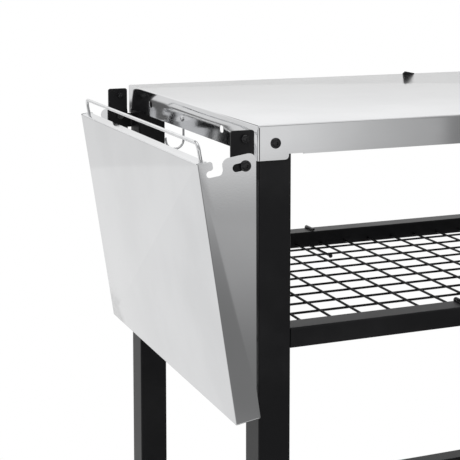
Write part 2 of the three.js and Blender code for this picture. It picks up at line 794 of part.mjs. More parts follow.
function axle() {
  const end = AXLE_CAP_PLACE + AXLE_CAP_FLOOR + SEAT_GAP;
  return rodAlongY(AXLE_PLACE, AXLE_HEIGHT, AXLE_RADIUS, [end, TABLE_DEPTH - end], ROUND_SIDES);
}

function wheels() {
  return SIDES.flatMap((isFront) => {
    const name = isFront ? 'front' : 'rear';
    const hub = piece(`wheel_${name}_hub`, wheelHub(), 'blackPlastic');
    const tread = piece(`wheel_${name}_tyre`, tyre(), 'rubber');
    const cap = piece(`axle_cap_${name}`, axleCap(), 'chrome');
    return [
      placeAlongY(hub, isFront, AXLE_PLACE, WHEEL_PLACE, AXLE_HEIGHT),
      placeAlongY(tread, isFront, AXLE_PLACE, WHEEL_PLACE, AXLE_HEIGHT),
      placeAlongY(cap, isFront, AXLE_PLACE, AXLE_CAP_PLACE, AXLE_HEIGHT),
    ];
  });
}

// Hinge fins, pivot bolts and keeper studs
const STUD_X = PIVOT_X - STUD_SHIFT;
const STUD_Z = PIVOT_Z + STUD_RISE;

function hingeFin(isFront) {
  const stepLevel = TABLE_HEIGHT - TAB_HEIGHT - FIN_STEP_GAP;
  const top = TABLE_HEIGHT - FIN_TOP_DROP;
  const bottom = TABLE_HEIGHT - FIN_BOTTOM_DROP;
  const shape = outline([
    corner(-FIN_OUT, bottom, FIN_CORNER),
    corner(LEG_OUTER - SEAT_GAP, bottom),
    corner(LEG_OUTER - SEAT_GAP, stepLevel),
    corner(-FIN_TABLE_GAP, stepLevel),
    corner(-FIN_TABLE_GAP, top, FIN_CORNER),
    corner(-FIN_OUT, top, FIN_CORNER),
  ]);
  const faces = fromFront(isFront, [FIN_FRONT, FIN_REAR]);
  const through = inset(faces, -OVERRUN);
  return cutBy(plateAcrossY(shape, faces), [
    rodAlongY(PIVOT_X, PIVOT_Z, PIVOT_BOLT.shankRadius + SEAT_GAP, through),
    rodAlongY(STUD_X, STUD_Z, STUD.shankRadius + SEAT_GAP, through),
  ]);
}

function hingeSide(isFront) {
  const name = isFront ? 'front' : 'rear';
  const shoulder = { radius: SLOT_RADIUS - SEAT_GAP, length: SEAT_GAP + SHELF_SHEET };
  const pivotNut = nut(NUT_RADIUS, NUT_HEIGHT, PIVOT_BOLT.shankRadius);
  const studNut = nut(STUD_NUT_RADIUS, STUD_NUT_HEIGHT, STUD.shankRadius);
  const parts = {
    pivot: piece(`pivot_bolt_${name}`, bolt(PIVOT_BOLT, shoulder), 'blackHardware'),
    pivotNut: piece(`pivot_nut_${name}`, pivotNut, 'blackHardware'),
    stud: piece(`keeper_stud_${name}`, bolt(STUD), 'blackHardware'),
    studNut: piece(`keeper_nut_${name}`, studNut, 'blackHardware'),
  };
  return [
    piece(`hinge_fin_${name}`, hingeFin(isFront), 'blackPaint'),
    placeAlongY(parts.pivot, isFront, PIVOT_X, -SEAT_GAP, PIVOT_Z),
    placeAlongY(parts.pivotNut, isFront, PIVOT_X, FIN_REAR + SEAT_GAP, PIVOT_Z),
    placeAlongY(parts.stud, isFront, STUD_X, -SEAT_GAP, STUD_Z),
    placeAlongY(parts.studNut, isFront, STUD_X, FIN_REAR + SEAT_GAP, STUD_Z),
  ];
}

// Side shelf, drawn hanging straight down: X is the depth behind its face, and Z = 0 is
// its hinge end. The group that holds it leans it and brings its slots to the pivots.
function flangeOutline() {
  const notchTop = -KEEPER_HEIGHT;
  const notchBottom = notchTop - NOTCH_HEIGHT;
  const slot = roundedRectangle(
    [FACE_TO_PIVOT - SLOT_TRAVEL - SLOT_RADIUS, FACE_TO_PIVOT + SLOT_RADIUS],
    [-END_TO_PIVOT - SLOT_RADIUS, -END_TO_PIVOT + SLOT_RADIUS],
    SLOT_RADIUS,
  );
  return outline([
    corner(0, 0),
    corner(0, -SHELF_LENGTH),
    corner(FLANGE_FOOT_DEPTH, -SHELF_LENGTH, FLANGE_FOOT_CORNER),
    corner(FLANGE_FOOT_DEPTH, FLANGE_FOOT_LENGTH - SHELF_LENGTH, FLANGE_FOOT_BEND),
    corner(FLANGE_DEPTH, 0, LUG_SHOULDER),
    corner(NOTCH_MOUTH_END, 0, LUG_CORNER),
    corner(NOTCH_MOUTH_END, notchBottom, NOTCH_CORNER),
    corner(NOTCH_END, notchBottom, NOTCH_HEIGHT / 2),
    corner(NOTCH_END, notchTop, NOTCH_HEIGHT / 2),
    corner(KEEPER_WIDTH, notchTop, KEEPER_CORNER),
    corner(KEEPER_WIDTH, 0, KEEPER_CORNER),
  ], [slot]);
}

// The shelf's upper face corner, found from the pivot
const SHELF_X = PIVOT_X - FACE_TO_PIVOT * Math.cos(SHELF_LEAN) - END_TO_PIVOT * Math.sin(SHELF_LEAN);
const SHELF_Z = PIVOT_Z - FACE_TO_PIVOT * Math.sin(SHELF_LEAN) + END_TO_PIVOT * Math.cos(SHELF_LEAN);

// The end wall is as deep as the legs let it be, because it rests against them
const END_WALL_DEPTH = (
  LEG_OUTER - SEAT_GAP - SHELF_X - SHELF_LENGTH * Math.sin(SHELF_LEAN)
) / Math.cos(SHELF_LEAN);

function shelfBar(radius) {
  const far = TABLE_DEPTH - BAR_POST_PLACE;
  return bentWire([
    bend(BAR_FOOT_DEPTH, BAR_POST_PLACE, -BAR_FOOT_LENGTH),
    bend(BAR_TOP_DEPTH, BAR_POST_PLACE, BAR_HEIGHT, BAR_BEND),
    bend(BAR_TOP_DEPTH, far, BAR_HEIGHT, BAR_BEND),
    bend(BAR_FOOT_DEPTH, far, -BAR_FOOT_LENGTH),
  ], radius);
}

function shelfPan() {
  const whole = [0, TABLE_DEPTH];
  const lipEnd = FIN_REAR + LIP_SIDE_GAP;
  const face = block([0, SHELF_SHEET], whole, [-SHELF_LENGTH, 0]);
  const lip = block([0, LIP_DEPTH], [lipEnd, TABLE_DEPTH - lipEnd], [-SHELF_SHEET, 0]);
  const endWall = block([0, END_WALL_DEPTH], whole, [-SHELF_LENGTH, SHELF_SHEET - SHELF_LENGTH]);
  const flanges = SIDES.map((isFront) => (
    plateAcrossY(flangeOutline(), fromFront(isFront, [0, SHELF_SHEET]))
  ));
  return joined([face, lip, endWall, ...flanges]).subtract(shelfBar(BAR_RADIUS + SEAT_GAP));
}

function sideShelf() {
  const shelf = new THREE.Group();
  shelf.add(piece('side_shelf', shelfPan(), 'stainless'));
  shelf.add(piece('side_shelf_rail', shelfBar(BAR_RADIUS), 'chrome'));
  shelf.position.set(SHELF_X, 0, SHELF_Z);
  shelf.rotation.y = -SHELF_LEAN;
  return shelf;
}

// Wire hook that hangs from a screw inside the left apron and curls out below it
function apronHook() {
  const x = TABLE_SHEET + SEAT_GAP + APRON_HOOK_WIRE;
  const middle = TABLE_HEIGHT - APRON_HOOK_DROP;
  const left = APRON_HOOK_PLACE - APRON_HOOK_EYE;
  const right = APRON_HOOK_PLACE + APRON_HOOK_EYE;
  const bottom = TABLE_HEIGHT - APRON_HOOK_BOTTOM;
  const tip = x - 2 * APRON_HOOK_BEND;
  return bentWire([
    bend(x, APRON_HOOK_PLACE + RUNNING_GAP, middle - APRON_HOOK_EYE),
    bend(x, left, middle - APRON_HOOK_EYE, APRON_HOOK_EYE),
    bend(x, left, middle + APRON_HOOK_EYE, APRON_HOOK_EYE),
    bend(x, right, middle + APRON_HOOK_EYE, APRON_HOOK_EYE),
    bend(x, right, bottom, APRON_HOOK_BEND),
    bend(tip, right, bottom, APRON_HOOK_BEND),
    bend(tip - APRON_HOOK_TIP_FLARE, right, bottom + APRON_HOOK_TIP_RISE),
  ], APRON_HOOK_WIRE);
}

function apronHookParts() {
  const level = TABLE_HEIGHT - APRON_HOOK_DROP;
  const nutPlace = TABLE_SHEET + 2 * SEAT_GAP + 2 * APRON_HOOK_WIRE;
  const hookNut = nut(HOOK_NUT_RADIUS, HOOK_NUT_HEIGHT, HOOK_SCREW.shankRadius);
  const screwMesh = piece('apron_hook_screw', bolt(HOOK_SCREW), 'chrome');
  const nutMesh = piece('apron_hook_nut', hookNut, 'chrome');
  return [
    piece('apron_hook', apronHook(), 'chrome'),
    placeAlongX(screwMesh, true, -SEAT_GAP, APRON_HOOK_PLACE, level),
    placeAlongX(nutMesh, true, nutPlace, APRON_HOOK_PLACE, level),
  ];
}

// Tool hook over a long rail, whose arm runs forward below the rail to a ball
function toolHook(isFront) {
  const x = TOOL_HOOK_PLACES[isFront ? 'front' : 'rear'];
  const railRear = fromFront(isFront, [LEG_FRONT, LEG_FRONT + RAIL_DEPTH])[1];
  const offset = SEAT_GAP + TOOL_HOOK_WIRE;
  const back = railRear + offset;
  const above = SHELF_TOPS.middle + offset;
  const below = SHELF_TOPS.middle - RAIL_HEIGHT - offset;
  const wire = bentWire([
    bend(x, railRear - TOOL_HOOK_TOP_REACH, above),
    bend(x, back, above, TOOL_HOOK_BEND),
    bend(x, back, below, TOOL_HOOK_BEND),
    bend(x, railRear - TOOL_HOOK_REACH, below),
  ], TOOL_HOOK_WIRE);
  return wire.add(ball(x, railRear - TOOL_HOOK_REACH, below, TOOL_HOOK_BALL));
}

// Clip that grips the lower edge of the rear apron, with a peak a little above the table
function edgeClip() {
  const across = [CLIP_LEFT, CLIP_LEFT + CLIP_WIDTH];
  const back = [TABLE_DEPTH + SEAT_GAP, TABLE_DEPTH + SEAT_GAP + CLIP_THICKNESS];
  const inner = TABLE_DEPTH - TABLE_SHEET - SEAT_GAP;
  const bottom = TABLE_HEIGHT - APRON_HEIGHT - SEAT_GAP - CLIP_THICKNESS;
  const floor = [bottom, bottom + CLIP_THICKNESS];
  const tip = back[1] + CLIP_HOOK_REACH;
  const backPlate = outline([
    corner(across[0], bottom),
    corner(across[1], bottom),
    corner(across[1], TABLE_HEIGHT),
    corner(across[0] + CLIP_PEAK_PLACE, TABLE_HEIGHT + CLIP_PEAK_RISE),
    corner(across[0], TABLE_HEIGHT),
  ]);
  return joined([
    plateAcrossY(backPlate, back),
    block(across, [inner - CLIP_THICKNESS, back[1]], floor),
    block(across, [inner - CLIP_THICKNESS, inner], [bottom, bottom + CLIP_LIP_HEIGHT]),
    block(across, [back[0], tip], floor),
    block(across, [tip - CLIP_THICKNESS, tip], [bottom, bottom + CLIP_HOOK_TIP]),
  ]);
}

function hooks() {
  return [
    ...apronHookParts(),
    piece('tool_hook_front', toolHook(true), 'blackHardware'),
    piece('tool_hook_rear', toolHook(false), 'blackHardware'),
    piece('rear_edge_clip', edgeClip(), 'blackHardware'),
  ];
}

function frameParts() {
  const legs = CORNERS.map(({ isFront, isLeft }) => (
    piece(`leg_${cornerName(isFront, isLeft)}`, leg(isFront, isLeft), 'blackPaint')
  ));
  const feet = SIDES.map((isFront) => (
    piece(`foot_cap_${isFront ? 'front' : 'rear'}`, footCap(isFront), 'rubber')
  ));
  const channels = Array.from({ length: CHANNEL_COUNT }, (_, index) => (
    piece(`table_channel_${index + 1}`, channel(index), 'stainless')
  ));
  return [
    piece('table_top', tableTop(), 'stainless'),
    ...tableBolts(),
    ...channels,
    ...legs,
    ...feet,
    piece('axle', axle(), 'chrome'),
  ];
}

function grillCart() {
  const cart = new THREE.Group();
  cart.add(...frameParts(), ...Object.keys(SHELF_TOPS).flatMap(gridShelf), ...wheels());
  cart.add(...SIDES.flatMap(hingeSide), sideShelf(), ...hooks());
  const middle = new THREE.Box3().setFromObject(cart, true).getCenter(new THREE.Vector3());
  cart.position.set(-middle.x, -middle.y, 0);
  const placed = new THREE.Group();
  placed.add(cart);
  return placed;
}

export default grillCart();
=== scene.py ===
"""Looks of the grill cart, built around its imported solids.

Sizes are millimetres in cart coordinates: X runs right from the table's left face, Y runs
to the rear from its front face, and Z runs up from the floor.
"""

from __future__ import annotations

import logging
import math
from contextlib import contextmanager
from dataclasses import dataclass
from enum import Enum
from typing import Callable, ClassVar, Iterator, Optional, Sequence, Union

import bmesh
import bpy
from mathutils import Matrix, Vector


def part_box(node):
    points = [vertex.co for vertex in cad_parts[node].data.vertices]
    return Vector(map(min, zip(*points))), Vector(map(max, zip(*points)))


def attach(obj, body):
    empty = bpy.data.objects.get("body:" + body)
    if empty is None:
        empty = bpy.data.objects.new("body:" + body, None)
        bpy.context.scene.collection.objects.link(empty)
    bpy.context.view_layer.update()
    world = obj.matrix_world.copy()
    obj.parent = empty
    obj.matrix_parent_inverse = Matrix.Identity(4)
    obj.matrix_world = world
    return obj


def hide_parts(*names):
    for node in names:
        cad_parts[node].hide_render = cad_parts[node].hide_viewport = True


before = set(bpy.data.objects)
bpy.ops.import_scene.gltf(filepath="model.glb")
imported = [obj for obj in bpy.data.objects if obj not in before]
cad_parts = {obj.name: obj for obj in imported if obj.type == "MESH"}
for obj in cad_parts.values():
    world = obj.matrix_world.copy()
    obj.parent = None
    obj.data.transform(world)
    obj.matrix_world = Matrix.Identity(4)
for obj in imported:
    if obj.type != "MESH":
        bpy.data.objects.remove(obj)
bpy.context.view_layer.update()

LOG = logging.getLogger("grill_cart")
MM = 0.001
# The largest distance in metres between points that count as one.
NEAR = 0.02 * MM
# Sheet thickness, gap between fitted pieces and how far a cutter passes a wall, in millimetres.
SHEET = 1.2
FIT_GAP = 0.3
OVERCUT = 5.0
AXLE_ROUNDING = 0.3
# Heights of the grid shelves' rails over the floor.
SHELF_LEVELS = (("middle", 621.0), ("lower", 212.0))
WHITE = (1.0, 1.0, 1.0, 1.0)
RGB = tuple[float, float, float]
Pair = tuple[float, float]


class Part(Enum):
    """Which elements of a mesh an edit picks."""

    FACES = "FACE"
    EDGES = "EDGE"
    POINTS = "VERT"


class Axis(Enum):
    """A direction along which a rod or a row runs."""

    X = 0
    Y = 1
    Z = 2

    def unit(self) -> Vector:
        """Gives the direction as a vector of length one."""
        return Vector([1.0 if index == self.value else 0.0 for index in range(3)])


class Body(Enum):
    """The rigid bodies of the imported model."""

    FRAME = "frame"
    SHELF = "side_shelf"
    WHEEL_FRONT = "wheel_front"
    WHEEL_REAR = "wheel_rear"


@dataclass(frozen=True)
class CartFrame:
    """Turns cart coordinates in millimetres into places in the row frame in metres."""

    left: float
    front: float
    width: float
    depth: float
    height: float

    @classmethod
    def from_table(cls) -> "CartFrame":
        """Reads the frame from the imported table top."""
        low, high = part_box("table_top")
        size = (high - low) / MM
        return cls(low.x, low.y, size.x, size.y, high.z / MM)

    def at(self, x: float, y: float, z: float) -> Vector:
        """Gives the place in metres of a point in millimetres."""
        return Vector((self.left + x * MM, self.front + y * MM, z * MM))

    def mirrored(self, is_front: bool, y: float) -> float:
        """Gives a depth, or its mirror image at the rear."""
        return y if is_front else self.depth - y

    def swapped(self, is_left: bool, x: float) -> float:
        """Gives a place along the cart, or its mirror image at the right end."""
        return x if is_left else self.width - x


CART = CartFrame.from_table()
SIDES = ((True, "front"), (False, "rear"))
CORNERS = tuple(
    (is_front, is_left, f"{side}_{end}")
    for is_front, side in SIDES for is_left, end in ((True, "left"), (False, "right"))
)


class Bench:
    """The steps in object and edit mode that the pieces share."""

    @staticmethod
    def clear() -> None:
        """Leaves edit mode and deselects everything."""
        if bpy.context.object and bpy.context.object.mode != "OBJECT":
            bpy.ops.object.mode_set(mode="OBJECT")
        bpy.ops.object.select_all(action="DESELECT")

    @staticmethod
    def choose(*pieces: bpy.types.Object) -> None:
        """Selects these objects alone and makes the first one active."""
        Bench.clear()
        for piece in pieces:
            piece.select_set(True)
        bpy.context.view_layer.objects.active = pieces[0]

    @staticmethod
    def named(name: str) -> bpy.types.Object:
        """Names the new object and applies its place, turn and scale."""
        piece = bpy.context.object
        piece.name = piece.data.name = name
        bpy.ops.object.transform_apply(location=True, rotation=True, scale=True)
        return piece

    @staticmethod
    def cube(name: str, low: Vector, high: Vector) -> bpy.types.Object:
        """Adds a cuboid between two corners.

        Args:
            name: Name of the new object.
            low: Its lowest corner.
            high: Its highest corner.

        Returns:
            The cuboid.
        """
        Bench.clear()
        bpy.ops.mesh.primitive_cube_add(size=1, location=(low + high) / 2, scale=high - low)
        return Bench.named(name)

    @staticmethod
    def rod(name: str, radius: float, ends: Sequence[Vector], sides: int) -> bpy.types.Object:
        """Adds a cylinder between two points.

        Args:
            name: Name of the new object.
            radius: Radius in metres.
            ends: The two ends of its axis.
            sides: Number of faces round it.

        Returns:
            The cylinder.
        """
        span = ends[1] - ends[0]
        turn = span.to_track_quat("Z", "Y").to_euler()
        Bench.clear()
        bpy.ops.mesh.primitive_cylinder_add(
            vertices=sides, radius=radius, depth=span.length,
            location=(ends[0] + ends[1]) / 2, rotation=turn,
        )
        return Bench.named(name)

    @staticmethod
    @contextmanager
    def editing(piece: bpy.types.Object) -> Iterator[None]:
        """Opens a piece in edit mode and leaves edit mode again at the end."""
        Bench.choose(piece)
        bpy.ops.object.mode_set(mode="EDIT")
        yield
        bpy.ops.object.mode_set(mode="OBJECT")

    @staticmethod
    def pick(part: Part, test: Callable[[Vector, Vector], bool]) -> int:
        """Selects elements of the mesh in edit mode.

        Args:
            part: Faces, edges or points.
            test: Takes the middle of an element and its direction, which is a face's
                normal, an edge's unit direction or a point's normal.

        Returns:
            How many elements were selected.
        """
        bpy.ops.mesh.select_mode(type=part.value)
        bpy.ops.mesh.select_all(action="DESELECT")
        mesh = bmesh.from_edit_mesh(bpy.context.object.data)
        count = 0
        kinds = {Part.FACES: mesh.faces, Part.EDGES: mesh.edges, Part.POINTS: mesh.verts}
        for element in kinds[part]:
            if part is Part.FACES:
                middle, direction = element.calc_center_median(), element.normal
            elif part is Part.EDGES:
                first, last = (corner.co for corner in element.verts)
                middle, direction = (first + last) / 2, (last - first).normalized()
            else:
                middle, direction = element.co, element.normal
            if test(middle, direction):
                element.select_set(True)
                count += 1
        mesh.select_flush_mode()
        bmesh.update_edit_mesh(bpy.context.object.data)
        return count

    @staticmethod
    def pick_all() -> None:
        """Selects the whole mesh in edit mode."""
        bpy.ops.mesh.select_all(action="SELECT")

    @staticmethod
    def slice(place: Vector, axis: Axis) -> None:
        """Cuts the whole mesh in edit mode along a plane across an axis."""
        Bench.pick_all()
        bpy.ops.mesh.bisect(plane_co=place, plane_no=axis.unit())

    @staticmethod
    def drop(waste: Callable[[Vector, Vector], bool]) -> None:
        """Deletes the faces that a test names and dissolves the cuts between the others."""
        Bench.pick(Part.FACES, waste)
        bpy.ops.mesh.delete(type="FACE")
        Bench.pick_all()
        bpy.ops.mesh.dissolve_limited(angle_limit=math.radians(1))

    @staticmethod
    def merge(distance: float) -> None:
        """Merges the doubles of the mesh in edit mode and turns its faces outward."""
        Bench.pick_all()
        bpy.ops.mesh.remove_doubles(threshold=distance)
        bpy.ops.mesh.normals_make_consistent(inside=False)

    @staticmethod
    def modify(piece: bpy.types.Object, kind: str, **settings: object) -> bpy.types.Object:
        """Adds a modifier and applies it.

        Args:
            piece: The piece to change.
            kind: The modifier's type.
            settings: Its settings by name.

        Returns:
            The piece.
        """
        Bench.choose(piece)
        modifier = piece.modifiers.new(kind.lower(), kind)
        for name, value in settings.items():
            setattr(modifier, name, value)
        bpy.ops.object.modifier_apply(modifier=modifier.name)
        return piece

    @staticmethod
    def carve(piece: bpy.types.Object, *cutters: bpy.types.Object) -> bpy.types.Object:
        """Cuts solids out of a piece.

        Args:
            piece: The piece to cut.
            cutters: The solids, which are removed afterwards.

        Returns:
            The piece.
        """
        for cutter in cutters:
            Bench.modify(piece, "BOOLEAN", operation="DIFFERENCE", object=cutter, solver="EXACT")
            bpy.data.objects.remove(cutter)
        return piece

    @staticmethod
    def weld(piece: bpy.types.Object, *others: bpy.types.Object) -> bpy.types.Object:
        """Joins solids to a piece as one skin.

        Args:
            piece: The piece that stays.
            others: The solids, which are removed afterwards.

        Returns:
            The piece.
        """
        for other in others:
            Bench.modify(piece, "BOOLEAN", operation="UNION", object=other, solver="EXACT")
            bpy.data.objects.remove(other)
        return piece

    @staticmethod
    def gather(name: str, pieces: Sequence[bpy.types.Object]) -> bpy.types.Object:
        """Joins pieces into one object without merging their skins.

        Args:
            name: Name of the object.
            pieces: The pieces to join.

        Returns:
            The object.
        """
        Bench.choose(*pieces)
        bpy.ops.object.join()
        return Bench.named(name)

    @staticmethod
    def thicken(piece: bpy.types.Object) -> bpy.types.Object:
        """Gives a skin the sheet's thickness on its inner side."""
        return Bench.modify(
            piece, "SOLIDIFY", thickness=SHEET * MM, offset=-1, use_even_offset=True,
        )

    @staticmethod
    def soften(piece: bpy.types.Object, width: float, segments: int) -> bpy.types.Object:
        """Rounds the sharp edges of a piece.

        Args:
            piece: The piece to round.
            width: Width of the rounding in metres.
            segments: Number of faces across the rounding.

        Returns:
            The piece.
        """
        return Bench.modify(
            piece, "BEVEL", width=width, segments=segments, limit_method="ANGLE",
            angle_limit=math.radians(35), use_clamp_overlap=True,
        )

    @staticmethod
    def shade(piece: bpy.types.Object, degrees: float) -> bpy.types.Object:
        """Shades the round parts of a piece smooth.

        Args:
            piece: The piece to shade.
            degrees: The angle from which an edge stays sharp.

        Returns:
            The piece.
        """
        Bench.choose(piece)
        bpy.ops.object.shade_smooth_by_angle(angle=math.radians(degrees))
        return piece

    @staticmethod
    def place(piece: bpy.types.Object, matrix: Matrix) -> bpy.types.Object:
        """Moves a piece and applies the move to its mesh.

        Args:
            piece: The piece to move.
            matrix: Where it goes.

        Returns:
            The piece.
        """
        Bench.choose(piece)
        piece.matrix_world = matrix @ piece.matrix_world
        bpy.ops.object.transform_apply(location=True, rotation=True, scale=True)
        return piece

    @staticmethod
    def copy(piece: bpy.types.Object, name: str, matrix: Matrix) -> bpy.types.Object:
        """Copies a modelled piece, with its own mesh, to another place.

        Args:
            piece: The piece to copy.
            name: Name of the copy.
            matrix: Where the copy goes.

        Returns:
            The copy.
        """
        Bench.choose(piece)
        bpy.ops.object.duplicate()
        twin = bpy.context.object
        twin.name = twin.data.name = name
        return Bench.place(twin, matrix)

    @staticmethod
    def oval(name: str, low: Vector, high: Vector, axis: Axis) -> bpy.types.Object:
        """Adds a cutter with round ends.

        Args:
            name: Name of the new object.
            low: Its lowest corner.
            high: Its highest corner.
            axis: The direction in which it cuts.

        Returns:
            The cutter.
        """
        cutter = Bench.cube(name, low, high)
        sides = [length for index, length in enumerate(high - low) if index != axis.value]
        with Bench.editing(cutter):
            Bench.pick(Part.EDGES, lambda _, way: abs(way.dot(axis.unit())) > 0.9)
            bpy.ops.mesh.bevel(offset=min(sides) / 2 - NEAR, segments=8, affect="EDGES")
        return cutter


@dataclass(frozen=True)
class Bend:
    """A corner of a bent rod and the radius of the rod's middle line there."""

    place: Vector
    radius: float = 0.0


@dataclass(frozen=True)
class BentRod:
    """A rod that is extruded along its straights and spun round its bends."""

    name: str
    radius: float
    sides: int
    step: ClassVar[float] = 12.0

    def form(self, bends: Sequence[Bend]) -> bpy.types.Object:
        """Models the rod.

        Args:
            bends: Its ends and corners, in metres.

        Returns:
            The rod with closed ends.
        """
        heading = (bends[1].place - bends[0].place).normalized()
        Bench.clear()
        bpy.ops.mesh.primitive_circle_add(
            vertices=self.sides, radius=self.radius, fill_type="NGON",
            location=bends[0].place, rotation=heading.to_track_quat("Z", "Y").to_euler(),
        )
        rod = Bench.named(self.name)
        with Bench.editing(rod):
            Bench.pick_all()
            here = bends[0].place
            for index in range(1, len(bends)):
                here = self._advance(bends, index, here)
            Bench.merge(NEAR / 4)
        return Bench.shade(rod, 40)

    @staticmethod
    def _advance(bends: Sequence[Bend], index: int, here: Vector) -> Vector:
        """Extrudes to one corner and spins round it.

        Args:
            bends: The corners of the rod.
            index: The corner to pass.
            here: Where the selected end is.

        Returns:
            Where the end is afterwards.
        """
        corner = bends[index]
        heading = (corner.place - bends[index - 1].place).normalized()
        if index == len(bends) - 1 or corner.radius == 0:
            stop, turn = corner.place, 0.0
        else:
            leaving = (bends[index + 1].place - corner.place).normalized()
            turn = heading.angle(leaving)
            stop = corner.place - heading * corner.radius * math.tan(turn / 2)
        if (stop - here).length > NEAR:
            bpy.ops.mesh.extrude_region_move(TRANSFORM_OT_translate={"value": stop - here})
        if not turn:
            return stop
        axis = heading.cross(leaving).normalized()
        centre = stop + axis.cross(heading) * corner.radius
        bpy.ops.mesh.spin(
            steps=max(3, round(math.degrees(turn) / BentRod.step)), angle=-turn,
            center=centre, axis=axis,
        )
        return corner.place + leaving * corner.radius * math.tan(turn / 2)


Number = Union[float, "Signal"]


class Signal:
    """A node's socket that takes part in arithmetic."""

    def __init__(self, recipe: "Recipe", socket: bpy.types.NodeSocket) -> None:
        """Keeps the socket and the recipe that it belongs to."""
        self.recipe = recipe
        self.socket = socket

    def __add__(self, other: Number) -> "Signal":
        """Adds a number or signal."""
        return self.recipe.math("ADD", self, other)

    def __sub__(self, other: Number) -> "Signal":
        """Takes a number or signal away."""
        return self.recipe.math("SUBTRACT", self, other)

    def __rsub__(self, other: Number) -> "Signal":
        """Takes this signal away from a number."""
        return self.recipe.math("SUBTRACT", other, self)

    def __mul__(self, other: Number) -> "Signal":
        """Multiplies by a number or signal."""
        return self.recipe.math("MULTIPLY", self, other)

    __radd__ = __add__
    __rmul__ = __mul__

    def between(self, low: float, high: float) -> "Signal":
        """Rises smoothly from 0 at one value of this signal to 1 at another."""
        settings = {"interpolation_type": "SMOOTHSTEP"}
        inputs = {"Value": self, "From Min": low, "From Max": high}
        return self.recipe.signal("ShaderNodeMapRange", settings, inputs)


class Recipe:
    """The node tree of one finish, or of the world."""

    def __init__(self, owner: Union[bpy.types.Material, bpy.types.World]) -> None:
        """Starts an empty tree."""
        self.owner = owner
        owner.use_nodes = True
        self.tree = owner.node_tree
        self.tree.nodes.clear()

    @classmethod
    def of_material(cls, name: str) -> "Recipe":
        """Starts a new material."""
        return cls(bpy.data.materials.new(name))

    def node(
        self, kind: str, settings: Optional[dict] = None, inputs: Optional[dict] = None
    ) -> bpy.types.Node:
        """Adds a node.

        Args:
            kind: The node's type.
            settings: Its own settings, set before its sockets.
            inputs: Values or signals of its sockets, by name or number.

        Returns:
            The node.
        """
        made = self.tree.nodes.new(kind)
        for name, value in (settings or {}).items():
            setattr(made, name, value)
        for key, value in (inputs or {}).items():
            if isinstance(value, Signal):
                self.tree.links.new(value.socket, made.inputs[key])
            else:
                made.inputs[key].default_value = value
        return made

    def signal(
        self, kind: str, settings: Optional[dict] = None, inputs: Optional[dict] = None,
        output: Union[str, int] = 0,
    ) -> Signal:
        """Adds a node and gives one of its outputs."""
        return Signal(self, self.node(kind, settings, inputs).outputs[output])

    def math(self, operation: str, *values: Number) -> Signal:
        """Adds a Math node for one operation."""
        return self.signal("ShaderNodeMath", {"operation": operation}, dict(enumerate(values)))

    def blend(self, share: Number, first: object, second: object) -> Signal:
        """Mixes two colours."""
        settings = {"data_type": "RGBA"}
        return self.signal("ShaderNodeMix", settings, {0: share, 6: first, 7: second}, 2)

    def place(self, scale: RGB = (1, 1, 1)) -> Signal:
        """Gives the place on the piece in metres, stretched by a scale."""
        here = self.signal("ShaderNodeTexCoord", output="Object")
        return self.signal("ShaderNodeMapping", inputs={"Vector": here, "Scale": scale})

    def noise(self, scale: RGB, detail: float) -> Signal:
        """Gives a noise of values round 0.5, whose grains follow the scale."""
        inputs = {"Vector": self.place(scale), "Scale": 1, "Detail": detail}
        return self.signal("ShaderNodeTexNoise", inputs=inputs)

    def bump(self, height: Signal, strength: float, distance: float) -> Signal:
        """Turns a height into a normal."""
        inputs = {"Height": height, "Strength": strength, "Distance": distance}
        return self.signal("ShaderNodeBump", inputs=inputs)

    def finish(self, **inputs: object) -> bpy.types.Material:
        """Closes the tree with a Principled shader and gives the material."""
        sockets = {name.replace("_", " "): value for name, value in inputs.items()}
        shader = self.signal("ShaderNodeBsdfPrincipled", inputs=sockets)
        return self.show(shader)

    def show(self, shader: Signal) -> bpy.types.Material:
        """Sends a shader to the output and gives the material."""
        self.node("ShaderNodeOutputMaterial", inputs={"Surface": shader})
        return self.owner

    def axes(self) -> list[Signal]:
        """Gives the three coordinates of the place on the piece."""
        split = self.node("ShaderNodeSeparateXYZ", inputs={0: self.place()})
        return [Signal(self, output) for output in split.outputs]

    def ray(self, kind: str) -> Signal:
        """Gives 1 for rays of a kind and 0 for others."""
        return self.signal("ShaderNodeLightPath", output=f"Is {kind} Ray")

    def glow(self, level: Signal) -> Signal:
        """Gives white light of a level."""
        return self.signal("ShaderNodeEmission", inputs={"Color": level, "Strength": 1.0})

    def mirrored(self) -> Signal:
        """Gives 1 for reflected and transmitted rays and 0 for others."""
        return self.math("MAXIMUM", self.ray("Glossy"), self.ray("Transmission"))


def solid(colour: Sequence[float]) -> tuple[float, float, float, float]:
    """Gives a colour its fourth number."""
    return (*colour, 1.0)


@dataclass(frozen=True)
class SheetSteel:
    """Bright stainless sheet with a fine grain in one direction and faint handling marks."""

    name: str
    grain: RGB
    light: RGB = (0.80, 0.805, 0.815)
    dark: RGB = (0.75, 0.755, 0.765)
    roughness: float = 0.055
    streak: float = 0.03

    def make(self) -> bpy.types.Material:
        """Builds the material."""
        recipe = Recipe.of_material(self.name)
        fine = recipe.noise(self.grain, detail=3)
        cloud = recipe.noise((7, 7, 7), detail=4)
        smudge = recipe.noise((26, 34, 30), detail=5).between(0.56, 0.74)
        tone = recipe.blend(cloud.between(0.35, 0.68), solid(self.light), solid(self.dark))
        rough = (fine - 0.5) * self.streak + self.roughness + smudge * 0.02 + cloud * 0.025
        return recipe.finish(
            Base_Color=tone, Metallic=1.0, Roughness=rough,
            Normal=recipe.bump(fine, 0.05, 0.0002),
        )


